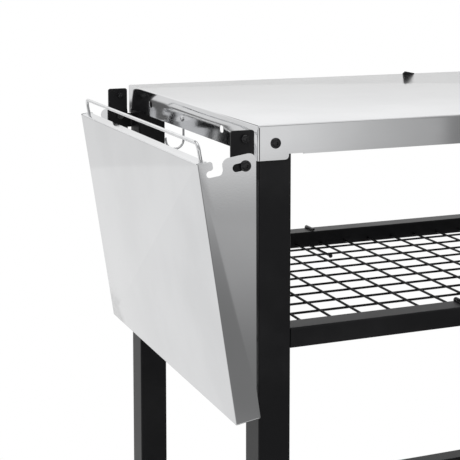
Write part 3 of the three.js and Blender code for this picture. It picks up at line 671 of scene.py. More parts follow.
@dataclass(frozen=True)
class SatinPaint:
    """Satin black powder coat with a fine orange peel and a little dust."""

    name: str
    colour: RGB = (0.008, 0.008, 0.009)
    dust: RGB = (0.016, 0.016, 0.017)
    roughness: float = 0.36
    gloss: float = 0.21

    def make(self) -> bpy.types.Material:
        """Builds the material."""
        recipe = Recipe.of_material(self.name)
        peel = recipe.noise((420, 420, 420), detail=2)
        cloud = recipe.noise((9, 9, 9), detail=5)
        tone = recipe.blend(cloud.between(0.45, 0.75), solid(self.colour), solid(self.dust))
        rough = cloud * 0.12 + (peel - 0.5) * 0.05 + self.roughness - 0.06
        return recipe.finish(
            Base_Color=tone, Roughness=rough, Specular_IOR_Level=self.gloss,
            Normal=recipe.bump(peel, 0.12, 0.0002),
        )


@dataclass(frozen=True)
class BlackSteel:
    """Blackened steel of bolts, studs and nuts, with bright rubbed spots."""

    name: str
    colour: RGB = (0.007, 0.007, 0.008)
    rubbed: RGB = (0.03, 0.03, 0.032)

    def make(self) -> bpy.types.Material:
        """Builds the material."""
        recipe = Recipe.of_material(self.name)
        spots = recipe.noise((190, 190, 190), detail=4)
        rub = spots.between(0.6, 0.78)
        tone = recipe.blend(rub, solid(self.colour), solid(self.rubbed))
        return recipe.finish(
            Base_Color=tone, Roughness=spots * 0.12 + 0.1, Specular_IOR_Level=0.45,
            Normal=recipe.bump(spots, 0.08, 0.0002),
        )


@dataclass(frozen=True)
class Chrome:
    """Bright plated wire with a faint haze."""

    name: str
    colour: RGB = (0.83, 0.835, 0.845)
    haze: RGB = (0.74, 0.75, 0.76)

    def make(self) -> bpy.types.Material:
        """Builds the material."""
        recipe = Recipe.of_material(self.name)
        cloud = recipe.noise((60, 60, 60), detail=4)
        tone = recipe.blend(cloud.between(0.5, 0.75), solid(self.colour), solid(self.haze))
        return recipe.finish(
            Base_Color=tone, Metallic=1.0, Roughness=cloud * 0.08 + 0.04,
            Normal=recipe.bump(cloud, 0.03, 0.0002),
        )


@dataclass(frozen=True)
class Moulded:
    """Moulded black plastic or rubber with a grain of its own."""

    name: str
    colour: RGB
    worn: RGB
    roughness: float
    grain: float

    def make(self) -> bpy.types.Material:
        """Builds the material."""
        recipe = Recipe.of_material(self.name)
        pores = recipe.noise((self.grain,) * 3, detail=3)
        cloud = recipe.noise((22, 22, 22), detail=4)
        tone = recipe.blend(cloud.between(0.42, 0.72), solid(self.colour), solid(self.worn))
        return recipe.finish(
            Base_Color=tone, Roughness=cloud * 0.1 + (self.roughness - 0.05),
            Specular_IOR_Level=0.4, Normal=recipe.bump(pores, 0.25, 0.0003),
        )


class FinishBook:
    """Makes each finish once and puts it on pieces; the table lists a slot name beside each finish.
    """

    FINISHES = {
        "table_steel": ("stainless", SheetSteel("table_steel", (12, 520, 520))),
        "shelf_steel": ("stainless", SheetSteel("shelf_steel", (520, 12, 520))),
        "paint": ("black_paint", SatinPaint("black_powder_coat")),
        "net_paint": ("black_paint", SatinPaint("black_dipped_wire", roughness=0.42, gloss=0.2)),
        "hardware": ("black_hardware", BlackSteel("blackened_steel")),
        "chrome": ("chrome", Chrome("plated_wire")),
        "plastic": ("wheel_plastic", Moulded(
            "wheel_plastic", (0.013, 0.013, 0.014), (0.026, 0.026, 0.027), 0.48, 330)),
        "tyre": ("tyre", Moulded(
            "tyre_rubber", (0.016, 0.016, 0.016), (0.034, 0.033, 0.032), 0.75, 240)),
        "rubber": ("rubber", Moulded(
            "foot_rubber", (0.014, 0.014, 0.014), (0.03, 0.03, 0.029), 0.7, 260)),
    }

    def __init__(self) -> None:
        """Makes the materials."""
        self.made = {key: finish.make() for key, (_, finish) in self.FINISHES.items()}

    def dress(self, piece: bpy.types.Object, finish: str) -> None:
        """Gives a piece one finish all over."""
        piece.data.materials.clear()
        piece.data.materials.append(self.made[finish])

    def hand_over(
        self, piece: bpy.types.Object, finish: str, body: Body, *nodes: str
    ) -> bpy.types.Object:
        """Dresses a new piece, rides it on its body and lets it stand for CAD nodes.

        Args:
            piece: The finished piece.
            finish: Key of its finish.
            body: The body that it rides on.
            nodes: The CAD nodes that it replaces.

        Returns:
            The piece.
        """
        self.dress(piece, finish)
        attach(piece, body.value)
        if nodes:
            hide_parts(*nodes)
        LOG.info("%s rides on %s for %s", piece.name, body.value, ", ".join(nodes) or "itself")
        return piece

    def keep(self, node: str, finish: str, rounding: float = 0.0) -> None:
        """Keeps a CAD node, with a finish and with its sharp edges rounded.

        Args:
            node: Name of the node.
            finish: Key of its finish.
            rounding: Width of the rounding in millimetres.
        """
        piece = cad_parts[node]
        self.dress(piece, finish)
        if rounding:
            piece.modifiers.new("merge", "WELD").merge_threshold = NEAR / 4
            flat = piece.modifiers.new("flatten", "DECIMATE")
            flat.decimate_type = "DISSOLVE"
            flat.angle_limit = math.radians(1)
            edge = piece.modifiers.new("round", "BEVEL")
            edge.width = rounding * MM
            edge.segments = 2
            edge.limit_method = "ANGLE"
            edge.angle_limit = math.radians(50)
        LOG.info("%s stays, finished as %s", node, finish)


@dataclass(frozen=True)
class ButtonBolt:
    """A button head bolt with a hexagon socket. Its head stands up from Z = 0."""

    name: str
    radius: float
    height: float
    shank: float
    length: float
    shoulder: float = 0.0
    socket: float = 2.3
    depth: float = 1.7
    dome: float = 0.92
    root: float = 0.8
    shoulder_depth: float = 1.5

    def form(self) -> bpy.types.Object:
        """Models the bolt at the origin.

        Returns:
            The bolt.
        """
        def level(z: float) -> Vector:
            """Gives a place on the axis."""
            return Vector((0, 0, z * MM))

        top = level(self.height)
        head = Bench.rod(self.name, self.radius * MM, (Vector(), top), 32)
        with Bench.editing(head):
            Bench.pick(Part.EDGES, lambda middle, way: middle.z > top.z - NEAR and abs(way.z) < 0.1)
            bpy.ops.mesh.bevel(
                offset=self.height * self.dome * MM, segments=7, affect="EDGES", profile=0.5,
            )
        ends = (level(self.height - self.depth), top * 2)
        Bench.carve(head, Bench.rod("socket", self.socket * MM, ends, 6))
        root = min(self.root, self.height / 4)
        ends = (level(-self.length), level(root))
        solids = [Bench.rod("shank", self.shank * MM, ends, 16)]
        if self.shoulder:
            ends = (level(-self.shoulder_depth), level(root / 2))
            solids.append(Bench.rod("shoulder", self.shoulder * MM, ends, 24))
        return Bench.shade(Bench.weld(head, *solids), 34)


def facing(place: Vector, axis: Axis, is_low: bool) -> Matrix:
    """Gives the matrix that puts a bolt at a place, with its head to an axis's low or high end."""
    outward = axis.unit() * (-1 if is_low else 1)
    return Matrix.Translation(place) @ outward.to_track_quat("Z", "Y").to_matrix().to_4x4()


@dataclass
class Table:
    """The folded table top, its bolts and the channels below it."""

    book: FinishBook
    apron: float = 35.0
    relief: float = 34.0
    relief_end: float = 57.0
    tab_width: float = 38.7
    tab_height: float = 40.5
    tab_corner: float = 4.5
    side_tab: float = 10.0
    fold: float = 1.5
    slit_place: float = 1.7
    slit_width: float = 1.0
    slit_reach: float = 2.0
    slit_margin: float = 1.0
    oval: Pair = (14.0, 9.0)
    oval_drop: float = 18.0
    oval_places: Pair = (112.0, 382.0)
    channel_rounding: float = 0.3
    bolt_place: float = 22.2
    bolt_drop: float = 21.0
    bolt: ButtonBolt = ButtonBolt("table_bolt", 6.25, 3.4, shank=3.0, length=14.0)

    def build(self) -> None:
        """Builds and dresses the table's pieces."""
        self.book.hand_over(self.top(), "table_steel", Body.FRAME, "table_top")
        self.bolts()
        for node in ("table_channel_1", "table_channel_2"):
            self.book.keep(node, "table_steel", self.channel_rounding)

    def top(self) -> bpy.types.Object:
        """Folds the top from one skin and gives it its thickness.

        Returns:
            The table top.
        """
        high = CART.height
        low = CART.at(0, 0, high - self.tab_height)
        pan = Bench.cube("table_top_sheet", low, CART.at(CART.width, CART.depth, high))
        with Bench.editing(pan):
            Bench.pick(Part.FACES, lambda _, way: way.z < -0.9)
            bpy.ops.mesh.delete(type="FACE")
            self._cut_aprons()
            self._round_folds()
        Bench.thicken(pan)
        Bench.carve(pan, *self._ovals(), *self._slits())
        return Bench.shade(pan, 30)

    def _cut_aprons(self) -> None:
        """Cuts the lower edges of the four aprons, with their tabs and reliefs."""
        high, width, depth = CART.height, CART.width, CART.depth
        for drop in (self.apron, self.relief):
            Bench.slice(CART.at(0, 0, high - drop), Axis.Z)
        for place in (self.tab_width, self.relief_end):
            for x in (place, width - place):
                Bench.slice(CART.at(x, 0, 0), Axis.X)
        for y in (self.side_tab, depth - self.side_tab):
            Bench.slice(CART.at(0, y, 0), Axis.Y)

        def waste(middle: Vector, way: Vector) -> bool:
            """Tells whether a face is cut away."""
            if abs(way.z) > 0.5:
                return False
            x = (middle.x - CART.left) / MM
            y = (middle.y - CART.front) / MM
            drop = high - middle.z / MM
            if abs(way.x) > 0.5:
                return drop > self.apron and self.side_tab < y < depth - self.side_tab
            side = min(x, width - x)
            return side > self.tab_width and drop > (
                self.apron if side > self.relief_end else self.relief
            )

        Bench.drop(waste)

    def _round_folds(self) -> None:
        """Rounds the tabs' corners and the folds."""
        ends = (self.tab_width, CART.width - self.tab_width)
        level = (CART.height - self.tab_height) * MM

        def tab_corner(place: Vector, _: Vector) -> bool:
            """Tells whether a point is a tab's lower inner corner."""
            x = (place.x - CART.left) / MM
            return abs(place.z - level) < NEAR and any(abs(x - end) < 0.1 for end in ends)

        Bench.pick(Part.POINTS, tab_corner)
        bpy.ops.mesh.bevel(offset=self.tab_corner * MM, segments=5, affect="VERTICES")
        top = CART.height * MM
        sides = (CART.left, CART.left + CART.width * MM)
        faces = (CART.front, CART.front + CART.depth * MM)

        def is_fold(middle: Vector, way: Vector) -> bool:
            """Tells whether an edge is a fold."""
            if abs(middle.z - top) < NEAR:
                return True
            upright = abs(way.z) > 0.9
            at_side = min(abs(middle.x - side) for side in sides) < NEAR
            return upright and at_side and min(abs(middle.y - face) for face in faces) < NEAR

        Bench.pick(Part.EDGES, is_fold)
        bpy.ops.mesh.bevel(offset=self.fold * MM, segments=4, affect="EDGES")

    def _ovals(self) -> list[bpy.types.Object]:
        """Models the cutters of the holes in the end aprons.

        Returns:
            The cutters.
        """
        reach, half = self.oval[0] / 2, self.oval[1] / 2
        level = CART.height - self.oval_drop
        return [
            Bench.oval(
                "oval", CART.at(x - OVERCUT, y - reach, level - half),
                CART.at(x + OVERCUT, y + reach, level + half), Axis.X,
            )
            for y in self.oval_places for x in (0, CART.width)
        ]

    def _slits(self) -> list[bpy.types.Object]:
        """Models the cutters of the open seams beside the four corners.

        Returns:
            The cutters.
        """
        low = CART.height - self.tab_height - OVERCUT
        high = CART.height - self.fold - self.slit_margin
        cutters = []
        for x in (self.slit_place, CART.width - self.slit_place - self.slit_width):
            for face in (0.0, CART.depth):
                far = CART.at(x + self.slit_width, face + self.slit_reach, high)
                near = CART.at(x, face - self.slit_reach, low)
                cutters.append(Bench.cube("slit", near, far))
        return cutters

    def bolts(self) -> None:
        """Puts one bolt in each tab."""
        bolt = self.bolt.form()
        level = CART.height - self.bolt_drop
        for is_front, is_left, corner in CORNERS:
            x = CART.swapped(is_left, self.bolt_place)
            matrix = facing(CART.at(x, CART.mirrored(is_front, 0), level), Axis.Y, is_front)
            made = Bench.copy(bolt, f"table_button_{corner}", matrix)
            self.book.hand_over(made, "hardware", Body.FRAME, f"table_bolt_{corner}")
        bpy.data.objects.remove(bolt)


@dataclass
class Stand:
    """The four legs and the rubber caps under the left ones."""

    book: FinishBook
    leg_rounding: float = 0.25
    cap_rounding: float = 1.2

    def build(self) -> None:
        """Dresses the legs and caps."""
        for _, _, corner in CORNERS:
            self.book.keep(f"leg_{corner}", "paint", self.leg_rounding)
        for _, side in SIDES:
            self.book.keep(f"foot_cap_{side}", "rubber", self.cap_rounding)


@dataclass
class GridShelf:
    """One grid shelf: its rails, its welded wires and its bolts."""

    book: FinishBook
    name: str
    level: float
    leg_face: float = 1.5
    leg_outer: float = 2.6
    rail_depth: float = 30.0
    rail_height: float = 24.0
    inset: float = 5.0
    rail_rounding: float = 0.25
    wire: float = 3.2
    wire_rounding: float = 0.3
    sink: float = 0.6
    net_drop: float = 16.7
    along: tuple[float, float, int] = (51.0, 41.9, 15)
    across: tuple[float, float, int] = (43.2, 38.7, 11)
    sides: int = 12
    bolt: ButtonBolt = ButtonBolt(
        "shelf_bolt", 5.5, 3.0, shank=3.0, length=52.0, socket=2.2, depth=1.6
    )

    def build(self) -> None:
        """Builds and dresses the shelf's pieces."""
        for side in ("front", "rear", "left", "right"):
            self.book.keep(f"{self.name}_shelf_rail_{side}", "paint", self.rail_rounding)
        net = f"{self.name}_shelf_net"
        self.book.hand_over(self.wires(), "net_paint", Body.FRAME, net)
        self.bolts()

    def wires(self) -> bpy.types.Object:
        """Lays two crossing rows of round wires, welded where they touch.

        Returns:
            The net.
        """
        top = self.level - self.net_drop
        upper, lower = top - self.wire / 2, top - 1.5 * self.wire + self.sink
        left = self.inset + self.rail_depth + FIT_GAP
        front = self.leg_face + self.rail_depth + FIT_GAP
        x, step_x, count_x = self.along
        y, step_y, count_y = self.across
        rows = [
            self._row(
                (CART.at(x, front, upper), CART.at(x, CART.depth - front, upper)),
                Vector((step_x, 0, 0)) * MM, count_x,
            ),
            self._row(
                (CART.at(left, y, lower), CART.at(CART.width - left, y, lower)),
                Vector((0, step_y, 0)) * MM, count_y,
            ),
        ]
        return Bench.shade(Bench.gather(f"{self.name}_shelf_wires", rows), 40)

    def _row(self, ends: Sequence[Vector], step: Vector, count: int) -> bpy.types.Object:
        """Models one wire and repeats it.

        Args:
            ends: The two ends of the first wire.
            step: The way from one wire to the next.
            count: Number of wires.

        Returns:
            The row of wires.
        """
        wire = Bench.rod("wire", self.wire / 2 * MM, ends, self.sides)
        Bench.soften(wire, self.wire_rounding * MM, 1)
        return Bench.modify(
            wire, "ARRAY", count=count, use_relative_offset=False,
            use_constant_offset=True, constant_offset_displace=step,
        )

    def bolts(self) -> None:
        """Puts a bolt through each leg into a long rail."""
        bolt = self.bolt.form()
        level = self.level - self.rail_height / 2
        depth = self.leg_face + self.rail_depth / 2
        for is_front, is_left, corner in CORNERS:
            x = CART.swapped(is_left, self.leg_outer)
            matrix = facing(CART.at(x, CART.mirrored(is_front, depth), level), Axis.X, is_left)
            made = Bench.copy(bolt, f"{self.name}_shelf_button_{corner}", matrix)
            node = f"{self.name}_shelf_bolt_{corner}"
            self.book.hand_over(made, "hardware", Body.FRAME, node)
        bpy.data.objects.remove(bolt)


@dataclass
class SideShelf:
    """The folding shelf and its rail, modelled hanging straight down and then leaned.

    X is the depth behind its face, Y is the cart's, and Z = 0 is its hinge end.
    """

    book: FinishBook
    lean: float = math.radians(8.64)
    corner: Pair = (-72.787, 820.159)
    length: float = 309.4
    depth: float = 71.6
    foot_depth: float = 31.0
    foot_length: float = 35.4
    end_depth: float = 28.8
    lip: float = 13.0
    lip_end: float = 5.2
    fold: float = 1.6
    keeper: Pair = (17.8, 10.0)
    keeper_corner: float = 3.0
    notch: tuple[float, float, float] = (8.9, 29.4, 8.0)
    notch_end: float = 3.95
    notch_corner: float = 6.0
    lug_corner: float = 8.0
    hinge_corner: float = 10.5
    foot_corners: Pair = (1.6, 2.0)
    slot: tuple[float, float, float, float] = (40.6, 61.1, 13.5, 4.6)
    bar: float = 2.2
    bar_foot: Pair = (9.0, -6.0)
    bar_top: Pair = (8.5, 21.0)
    bar_bend: float = 8.0
    post: float = 12.5

    def build(self) -> None:
        """Builds and dresses the shelf's pieces."""
        x, z = self.corner
        origin = CART.at(x, 0, z)
        matrix = Matrix.Translation(origin) @ Matrix.Rotation(-self.lean, 4, "Y")
        pan = Bench.place(self.pan(), matrix)
        self.book.hand_over(pan, "shelf_steel", Body.SHELF, "side_shelf")
        rail = Bench.place(self.rail("side_shelf_bar", self.bar), matrix)
        self.book.hand_over(rail, "chrome", Body.SHELF, "side_shelf_rail")

    @staticmethod
    def _at(x: float, y: float, z: float) -> Vector:
        """Gives a place on the hanging shelf in metres."""
        return Vector((x, y, z)) * MM

    def pan(self) -> bpy.types.Object:
        """Folds the shelf from one skin, cuts its flanges and gives it its thickness.

        Returns:
            The shelf's pan.
        """
        pan = Bench.cube(
            "side_shelf_pan", self._at(0, 0, -self.length), self._at(self.depth, CART.depth, 0)
        )
        with Bench.editing(pan):
            Bench.pick(Part.FACES, lambda _, way: way.x > 0.9)
            bpy.ops.mesh.delete(type="FACE")
            self._taper()
            self._trim()
            self._round()
        Bench.thicken(pan)
        near, far, drop, radius = self.slot
        slots = [
            Bench.oval(
                "slot", self._at(near, y - OVERCUT, -drop - radius),
                self._at(far, y + OVERCUT, -drop + radius), Axis.Y,
            )
            for y in (0, CART.depth)
        ]
        Bench.carve(pan, *slots, self.rail("rail_hole", self.bar + FIT_GAP))
        return Bench.shade(pan, 30)

    def _move(self, test: Callable[[Vector, Vector], bool], shift: float) -> None:
        """Moves points along X by a shift in millimetres."""
        Bench.pick(Part.POINTS, test)
        bpy.ops.transform.translate(value=self._at(shift, 0, 0))

    def _taper(self) -> None:
        """Narrows the flanges towards the foot."""
        foot, level = -self.length * MM, (self.foot_length - self.length) * MM
        self._move(
            lambda place, _: place.z < foot + NEAR and place.x > self.depth * MM - NEAR,
            self.foot_depth - self.depth,
        )
        Bench.slice(Vector((0, 0, level)), Axis.Z)
        share = self.foot_length / self.length
        self._move(
            lambda place, _: abs(place.z - level) < NEAR and place.x > NEAR,
            -share * (self.depth - self.foot_depth),
        )

    def _trim(self) -> None:
        """Cuts the lip, the end wall and the notches out of the skin."""
        tab, tab_height = self.keeper
        end, mouth, height = self.notch
        for x in (self.lip, self.end_depth, tab, end, mouth):
            Bench.slice(self._at(x, 0, 0), Axis.X)
        for y in (self.lip_end, CART.depth - self.lip_end):
            Bench.slice(self._at(0, y, 0), Axis.Y)
        for z in (tab_height, tab_height + height):
            Bench.slice(self._at(0, 0, -z), Axis.Z)

        def waste(middle: Vector, way: Vector) -> bool:
            """Tells whether a face is cut away."""
            x, y, z = middle / MM
            if way.z > 0.5:
                return x > self.lip or min(y, CART.depth - y) < self.lip_end
            if way.z < -0.5:
                return x > self.end_depth
            if abs(way.y) < 0.5 or z < -tab_height - height:
                return False
            return tab < x < mouth or (end < x < mouth and z < -tab_height)

        Bench.drop(waste)

    def _round(self) -> None:
        """Rounds the corners of the flanges and then the folds."""
        tab, tab_height = self.keeper
        end, mouth, height = self.notch
        floor = -tab_height - height
        upper, lower = self.foot_corners
        corners = (
            (tab, 0, self.keeper_corner), (tab, -tab_height, self.keeper_corner),
            (mouth, 0, self.lug_corner), (mouth, floor, self.notch_corner),
            (end, -tab_height, self.notch_end), (end, floor, self.notch_end),
            (self.depth, 0, self.hinge_corner),
            (self.foot_depth, self.foot_length - self.length, upper),
            (self.foot_depth, -self.length, lower),
        )
        for x, z, reach in corners:
            target = self._at(x, 0, z)
            found = Bench.pick(
                Part.POINTS,
                lambda place, _: abs(place.x - target.x) < NEAR and abs(place.z - target.z) < NEAR,
            )
            if found:
                bpy.ops.mesh.bevel(offset=reach * MM, segments=5, affect="VERTICES")
        foot = -self.length * MM
        walls = (0.0, CART.depth * MM)

        def is_fold(middle: Vector, way: Vector) -> bool:
            """Tells whether an edge is a fold."""
            at_wall = min(abs(middle.y - wall) for wall in walls) < NEAR
            on_face = middle.x < NEAR
            if abs(way.y) > 0.9:
                inside = self.lip_end * MM < middle.y < walls[1] - self.lip_end * MM
                return on_face and (abs(middle.z - foot) < NEAR or (inside and middle.z > -NEAR))
            return at_wall and (
                (on_face and abs(way.z) > 0.9)
                or (abs(middle.z - foot) < NEAR and middle.x < self.end_depth * MM)
            )

        Bench.pick(Part.EDGES, is_fold)
        bpy.ops.mesh.bevel(offset=self.fold * MM, segments=4, affect="EDGES")

    def rail(self, name: str, radius: float) -> bpy.types.Object:
        """Bends the rail across the hinge end.

        Args:
            name: Name of the new object.
            radius: Radius of the rod in millimetres, which is larger for the holes' cutter.

        Returns:
            The rail.
        """
        far = CART.depth - self.post
        foot, low = self.bar_foot
        top, high = self.bar_top
        return BentRod(name, radius * MM, 20).form([
            Bend(self._at(foot, self.post, low)),
            Bend(self._at(top, self.post, high), self.bar_bend * MM),
            Bend(self._at(top, far, high), self.bar_bend * MM),
            Bend(self._at(foot, far, low)),
        ])


@dataclass
class Hinges:
    """The fins, pivot bolts, keeper studs and nuts at both sides of the shelf."""

    book: FinishBook
    pivot: Pair = (-14.9, 815.3)
    stud: Pair = (-15.4, 846.1)
    pivot_bolt: ButtonBolt = ButtonBolt(
        "pivot", 6.5, 3.5, shank=3.0, length=11.0, shoulder=4.3, socket=2.4
    )
    keeper_stud: ButtonBolt = ButtonBolt(
        "stud", 5.0, 3.0, shank=2.5, length=8.5, socket=1.7, depth=1.3
    )
    fin_rounding: float = 0.4
    nut_rounding: float = 0.3

    def build(self) -> None:
        """Builds and dresses the hinges' pieces."""
        bolt, stud = self.pivot_bolt.form(), self.keeper_stud.form()
        for is_front, side in SIDES:
            self._put(bolt, ("pivot_button", "pivot_bolt"), self.pivot, is_front)
            self._put(stud, ("keeper_button", "keeper_stud"), self.stud, is_front)
            self.book.keep(f"hinge_fin_{side}", "paint", self.fin_rounding)
            for nut in ("pivot_nut", "keeper_nut"):
                self.book.keep(f"{nut}_{side}", "hardware", self.nut_rounding)
        for model in (bolt, stud):
            bpy.data.objects.remove(model)

    def _put(
        self, model: bpy.types.Object, names: tuple[str, str], where: Pair, is_front: bool
    ) -> None:
        """Copies a fastener to its place and hands it over for its CAD node.

        Args:
            model: The modelled fastener.
            names: What the copy and its CAD node are called, without their side.
            where: Its place along and up the cart.
            is_front: Whether it is at the front.
        """
        place = CART.at(where[0], CART.mirrored(is_front, -FIT_GAP), where[1])
        name, node = (f"{word}_{dict(SIDES)[is_front]}" for word in names)
        made = Bench.copy(model, name, facing(place, Axis.Y, is_front))
        self.book.hand_over(made, "hardware", Body.FRAME, node)


@dataclass
class Hooks:
    """The wire hook under the left apron, the two tool hooks and the clip at the rear."""

    book: FinishBook
    apron_place: float = 250.0
    apron_drop: float = 21.5
    apron_wire: float = 1.5
    eye: float = 4.5
    eye_lap: float = 0.5
    bottom: float = 62.0
    curl: float = 11.5
    tip_rise: float = 15.5
    tip_flare: float = 2.0
    tool_wire: float = 2.0
    tool_ball: float = 3.2
    tool_reach: float = 86.0
    tool_top: float = 26.0
    tool_bend: float = 3.0
    tool_places: Pair = (284.0, 292.0)
    rail_faces: Pair = (1.5, 31.5)
    rail_height: float = 24.0
    shelf_level: float = SHELF_LEVELS[0][1]
    screw: ButtonBolt = ButtonBolt(
        "hook_screw", 4.2, 2.2, shank=2.0, length=9.0, socket=1.5, depth=1.0
    )
    nut_rounding: float = 0.2
    clip_rounding: float = 0.6

    def build(self) -> None:
        """Builds and dresses the hooks."""
        self.book.hand_over(self.apron_hook(), "chrome", Body.FRAME, "apron_hook")
        screw = self.screw.form()
        place = CART.at(0, self.apron_place, CART.height - self.apron_drop)
        Bench.place(screw, facing(place, Axis.X, True))
        screw.name = "apron_hook_button"
        self.book.hand_over(screw, "chrome", Body.FRAME, "apron_hook_screw")
        self.book.keep("apron_hook_nut", "chrome", self.nut_rounding)
        for (is_front, side), x in zip(SIDES, self.tool_places):
            hook = self.tool_hook(f"tool_wire_{side}", is_front, x)
            self.book.hand_over(hook, "hardware", Body.FRAME, f"tool_hook_{side}")
        self.book.keep("rear_edge_clip", "hardware", self.clip_rounding)

    def apron_hook(self) -> bpy.types.Object:
        """Bends the wire hook that hangs from the screw.

        Returns:
            The hook.
        """
        x = SHEET + FIT_GAP + self.apron_wire
        middle = CART.height - self.apron_drop
        left, right = self.apron_place - self.eye, self.apron_place + self.eye
        low = CART.height - self.bottom
        tip = x - 2 * self.curl
        eye, curl = self.eye * MM, self.curl * MM
        return BentRod("apron_wire_hook", self.apron_wire * MM, 14).form([
            Bend(CART.at(x, self.apron_place + self.eye_lap, middle - self.eye)),
            Bend(CART.at(x, left, middle - self.eye), eye),
            Bend(CART.at(x, left, middle + self.eye), eye),
            Bend(CART.at(x, right, middle + self.eye), eye),
            Bend(CART.at(x, right, low), curl),
            Bend(CART.at(tip, right, low), curl),
            Bend(CART.at(tip - self.tip_flare, right, low + self.tip_rise)),
        ])

    def tool_hook(self, name: str, is_front: bool, x: float) -> bpy.types.Object:
        """Bends a tool hook over a long rail and puts the ball on its arm.

        Args:
            name: Name of the piece.
            is_front: Whether it hangs on the front rail.
            x: Its place along the rail.

        Returns:
            The hook.
        """
        outer, inner = self.rail_faces
        rear = inner if is_front else CART.depth - outer
        offset = FIT_GAP + self.tool_wire
        above, below = self.shelf_level + offset, self.shelf_level - self.rail_height - offset
        end = CART.at(x, rear - self.tool_reach, below)
        bend = self.tool_bend * MM
        wire = BentRod(name, self.tool_wire * MM, 14).form([
            Bend(CART.at(x, rear - self.tool_top, above)),
            Bend(CART.at(x, rear + offset, above), bend),
            Bend(CART.at(x, rear + offset, below), bend),
            Bend(end),
        ])
        Bench.clear()
        bpy.ops.mesh.primitive_uv_sphere_add(
            segments=20, ring_count=12, radius=self.tool_ball * MM, location=end
        )
        return Bench.shade(Bench.weld(wire, Bench.named("ball")), 40)


@dataclass
class Wheel:
    """One wheel on the fixed axle: tyre, hub and cap."""

    book: FinishBook
    side: str
    radius: float = 64.6
    width: float = 24.0
    tyre_corner: float = 5.0
    tread_band: float = 0.6
    groove_place: float = 3.0
    groove_wall: float = 1.2
    groove_share: float = 0.972
    rim: float = 50.0
    rim_wall: float = 5.0
    rim_width: float = 20.0
    rim_corner: float = 1.2
    boss: float = 14.0
    boss_width: float = 26.0
    boss_corner: float = 1.0
    bore: float = 5.3
    spokes: int = 6
    spoke: Pair = (9.0, 10.0)
    spoke_sink: float = 2.0
    spoke_taper: Pair = (0.72, 0.8)
    spoke_corner: float = 1.0
    cap_rounding: float = 0.6
    steps: int = 72

    def build(self) -> None:
        """Builds and dresses the wheel's pieces."""
        low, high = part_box(f"wheel_{self.side}_tyre")
        cap_low, cap_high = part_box(f"axle_cap_{self.side}")
        centre = (low + high) / 2
        centre.z = (cap_low.z + cap_high.z) / 2
        body = Body(f"wheel_{self.side}")
        tyre = Bench.place(self.tyre(), Matrix.Translation(centre))
        self.book.hand_over(tyre, "tyre", body, f"wheel_{self.side}_tyre")
        hub = Bench.place(self.hub(), Matrix.Translation(centre))
        self.book.hand_over(hub, "plastic", body, f"wheel_{self.side}_hub")
        self.book.keep(f"axle_cap_{self.side}", "chrome", self.cap_rounding)

    def _ring(
        self, name: str, radii: Sequence[float], width: float, corner: float
    ) -> bpy.types.Object:
        """Spins a rounded section round the axle.

        Args:
            name: Name of the ring.
            radii: Inner and outer radius.
            width: Width along the axle.
            corner: Rounding of the section.

        Returns:
            The ring, round the Y axis at the origin.
        """
        Bench.clear()
        middle, thick = sum(radii) / 2, radii[1] - radii[0]
        bpy.ops.mesh.primitive_plane_add(size=1, location=(middle * MM, 0, 0))
        section = bpy.context.object
        section.scale = (thick * MM, width * MM, 1)
        ring = Bench.named(name)
        with Bench.editing(ring):
            Bench.pick_all()
            bpy.ops.mesh.bevel(offset=corner * MM, segments=4, affect="VERTICES")
            Bench.pick_all()
            bpy.ops.mesh.delete(type="ONLY_FACE")
            Bench.pick_all()
            bpy.ops.mesh.spin(steps=self.steps, angle=2 * math.pi, center=(0, 0, 0), axis=(0, 1, 0))
            Bench.merge(NEAR)
        return ring

    def tyre(self) -> bpy.types.Object:
        """Spins the tyre and presses two grooves into its tread.

        Returns:
            The tyre at the origin.
        """
        radii = (self.rim + FIT_GAP, self.radius)
        tyre = self._ring(f"wheel_{self.side}_tread", radii, self.width, self.tyre_corner)
        outer = (self.radius - self.tread_band) * MM

        def on_tread(middle: Vector, way: Vector) -> bool:
            """Tells whether a face lies flat on the tread."""
            return Vector((middle.x, middle.z)).length > outer and abs(way.y) < 0.05

        with Bench.editing(tyre):
            Bench.pick(Part.FACES, on_tread)
            for inset in (self.groove_place, self.groove_wall):
                bpy.ops.mesh.inset(thickness=inset * MM, use_boundary=True)
            bpy.ops.transform.resize(
                value=(self.groove_share, 1, self.groove_share), center_override=(0, 0, 0),
                orient_type="GLOBAL",
            )
        return Bench.shade(tyre, 28)

    def hub(self) -> bpy.types.Object:
        """Joins rim, boss and tapered spokes.

        Returns:
            The hub at the origin.
        """
        name = f"wheel_{self.side}_spokes"
        inner = self.rim - self.rim_wall
        rim = self._ring(name, (inner, self.rim), self.rim_width, self.rim_corner)
        radii = (self.bore, self.boss)
        solids = [self._ring("boss", radii, self.boss_width, self.boss_corner)]
        x, y = (size / 2 for size in self.spoke)
        low = Vector((-x, -y, self.boss - self.spoke_sink)) * MM
        high = Vector((x, y, inner + self.spoke_sink)) * MM
        for index in range(self.spokes):
            arm = Bench.cube("spoke", low, high)
            with Bench.editing(arm):
                Bench.pick(Part.FACES, lambda _, way: way.z > 0.9)
                bpy.ops.transform.resize(
                    value=(*self.spoke_taper, 1), center_override=(0, 0, high.z)
                )
            Bench.soften(arm, self.spoke_corner * MM, 3)
            turn = 2 * math.pi * index / self.spokes
            solids.append(Bench.place(arm, Matrix.Rotation(turn, 4, "Y")))
        return Bench.shade(Bench.weld(rim, *solids), 32)


@dataclass(frozen=True)
class Fade:
    """A smooth change between two places, and how much it comes to."""

    low: float
    high: float
    amount: float = 1.0

    def of(self, place: Signal) -> Signal:
        """Gives how much has changed at a place."""
        return place.between(self.low, self.high) * self.amount


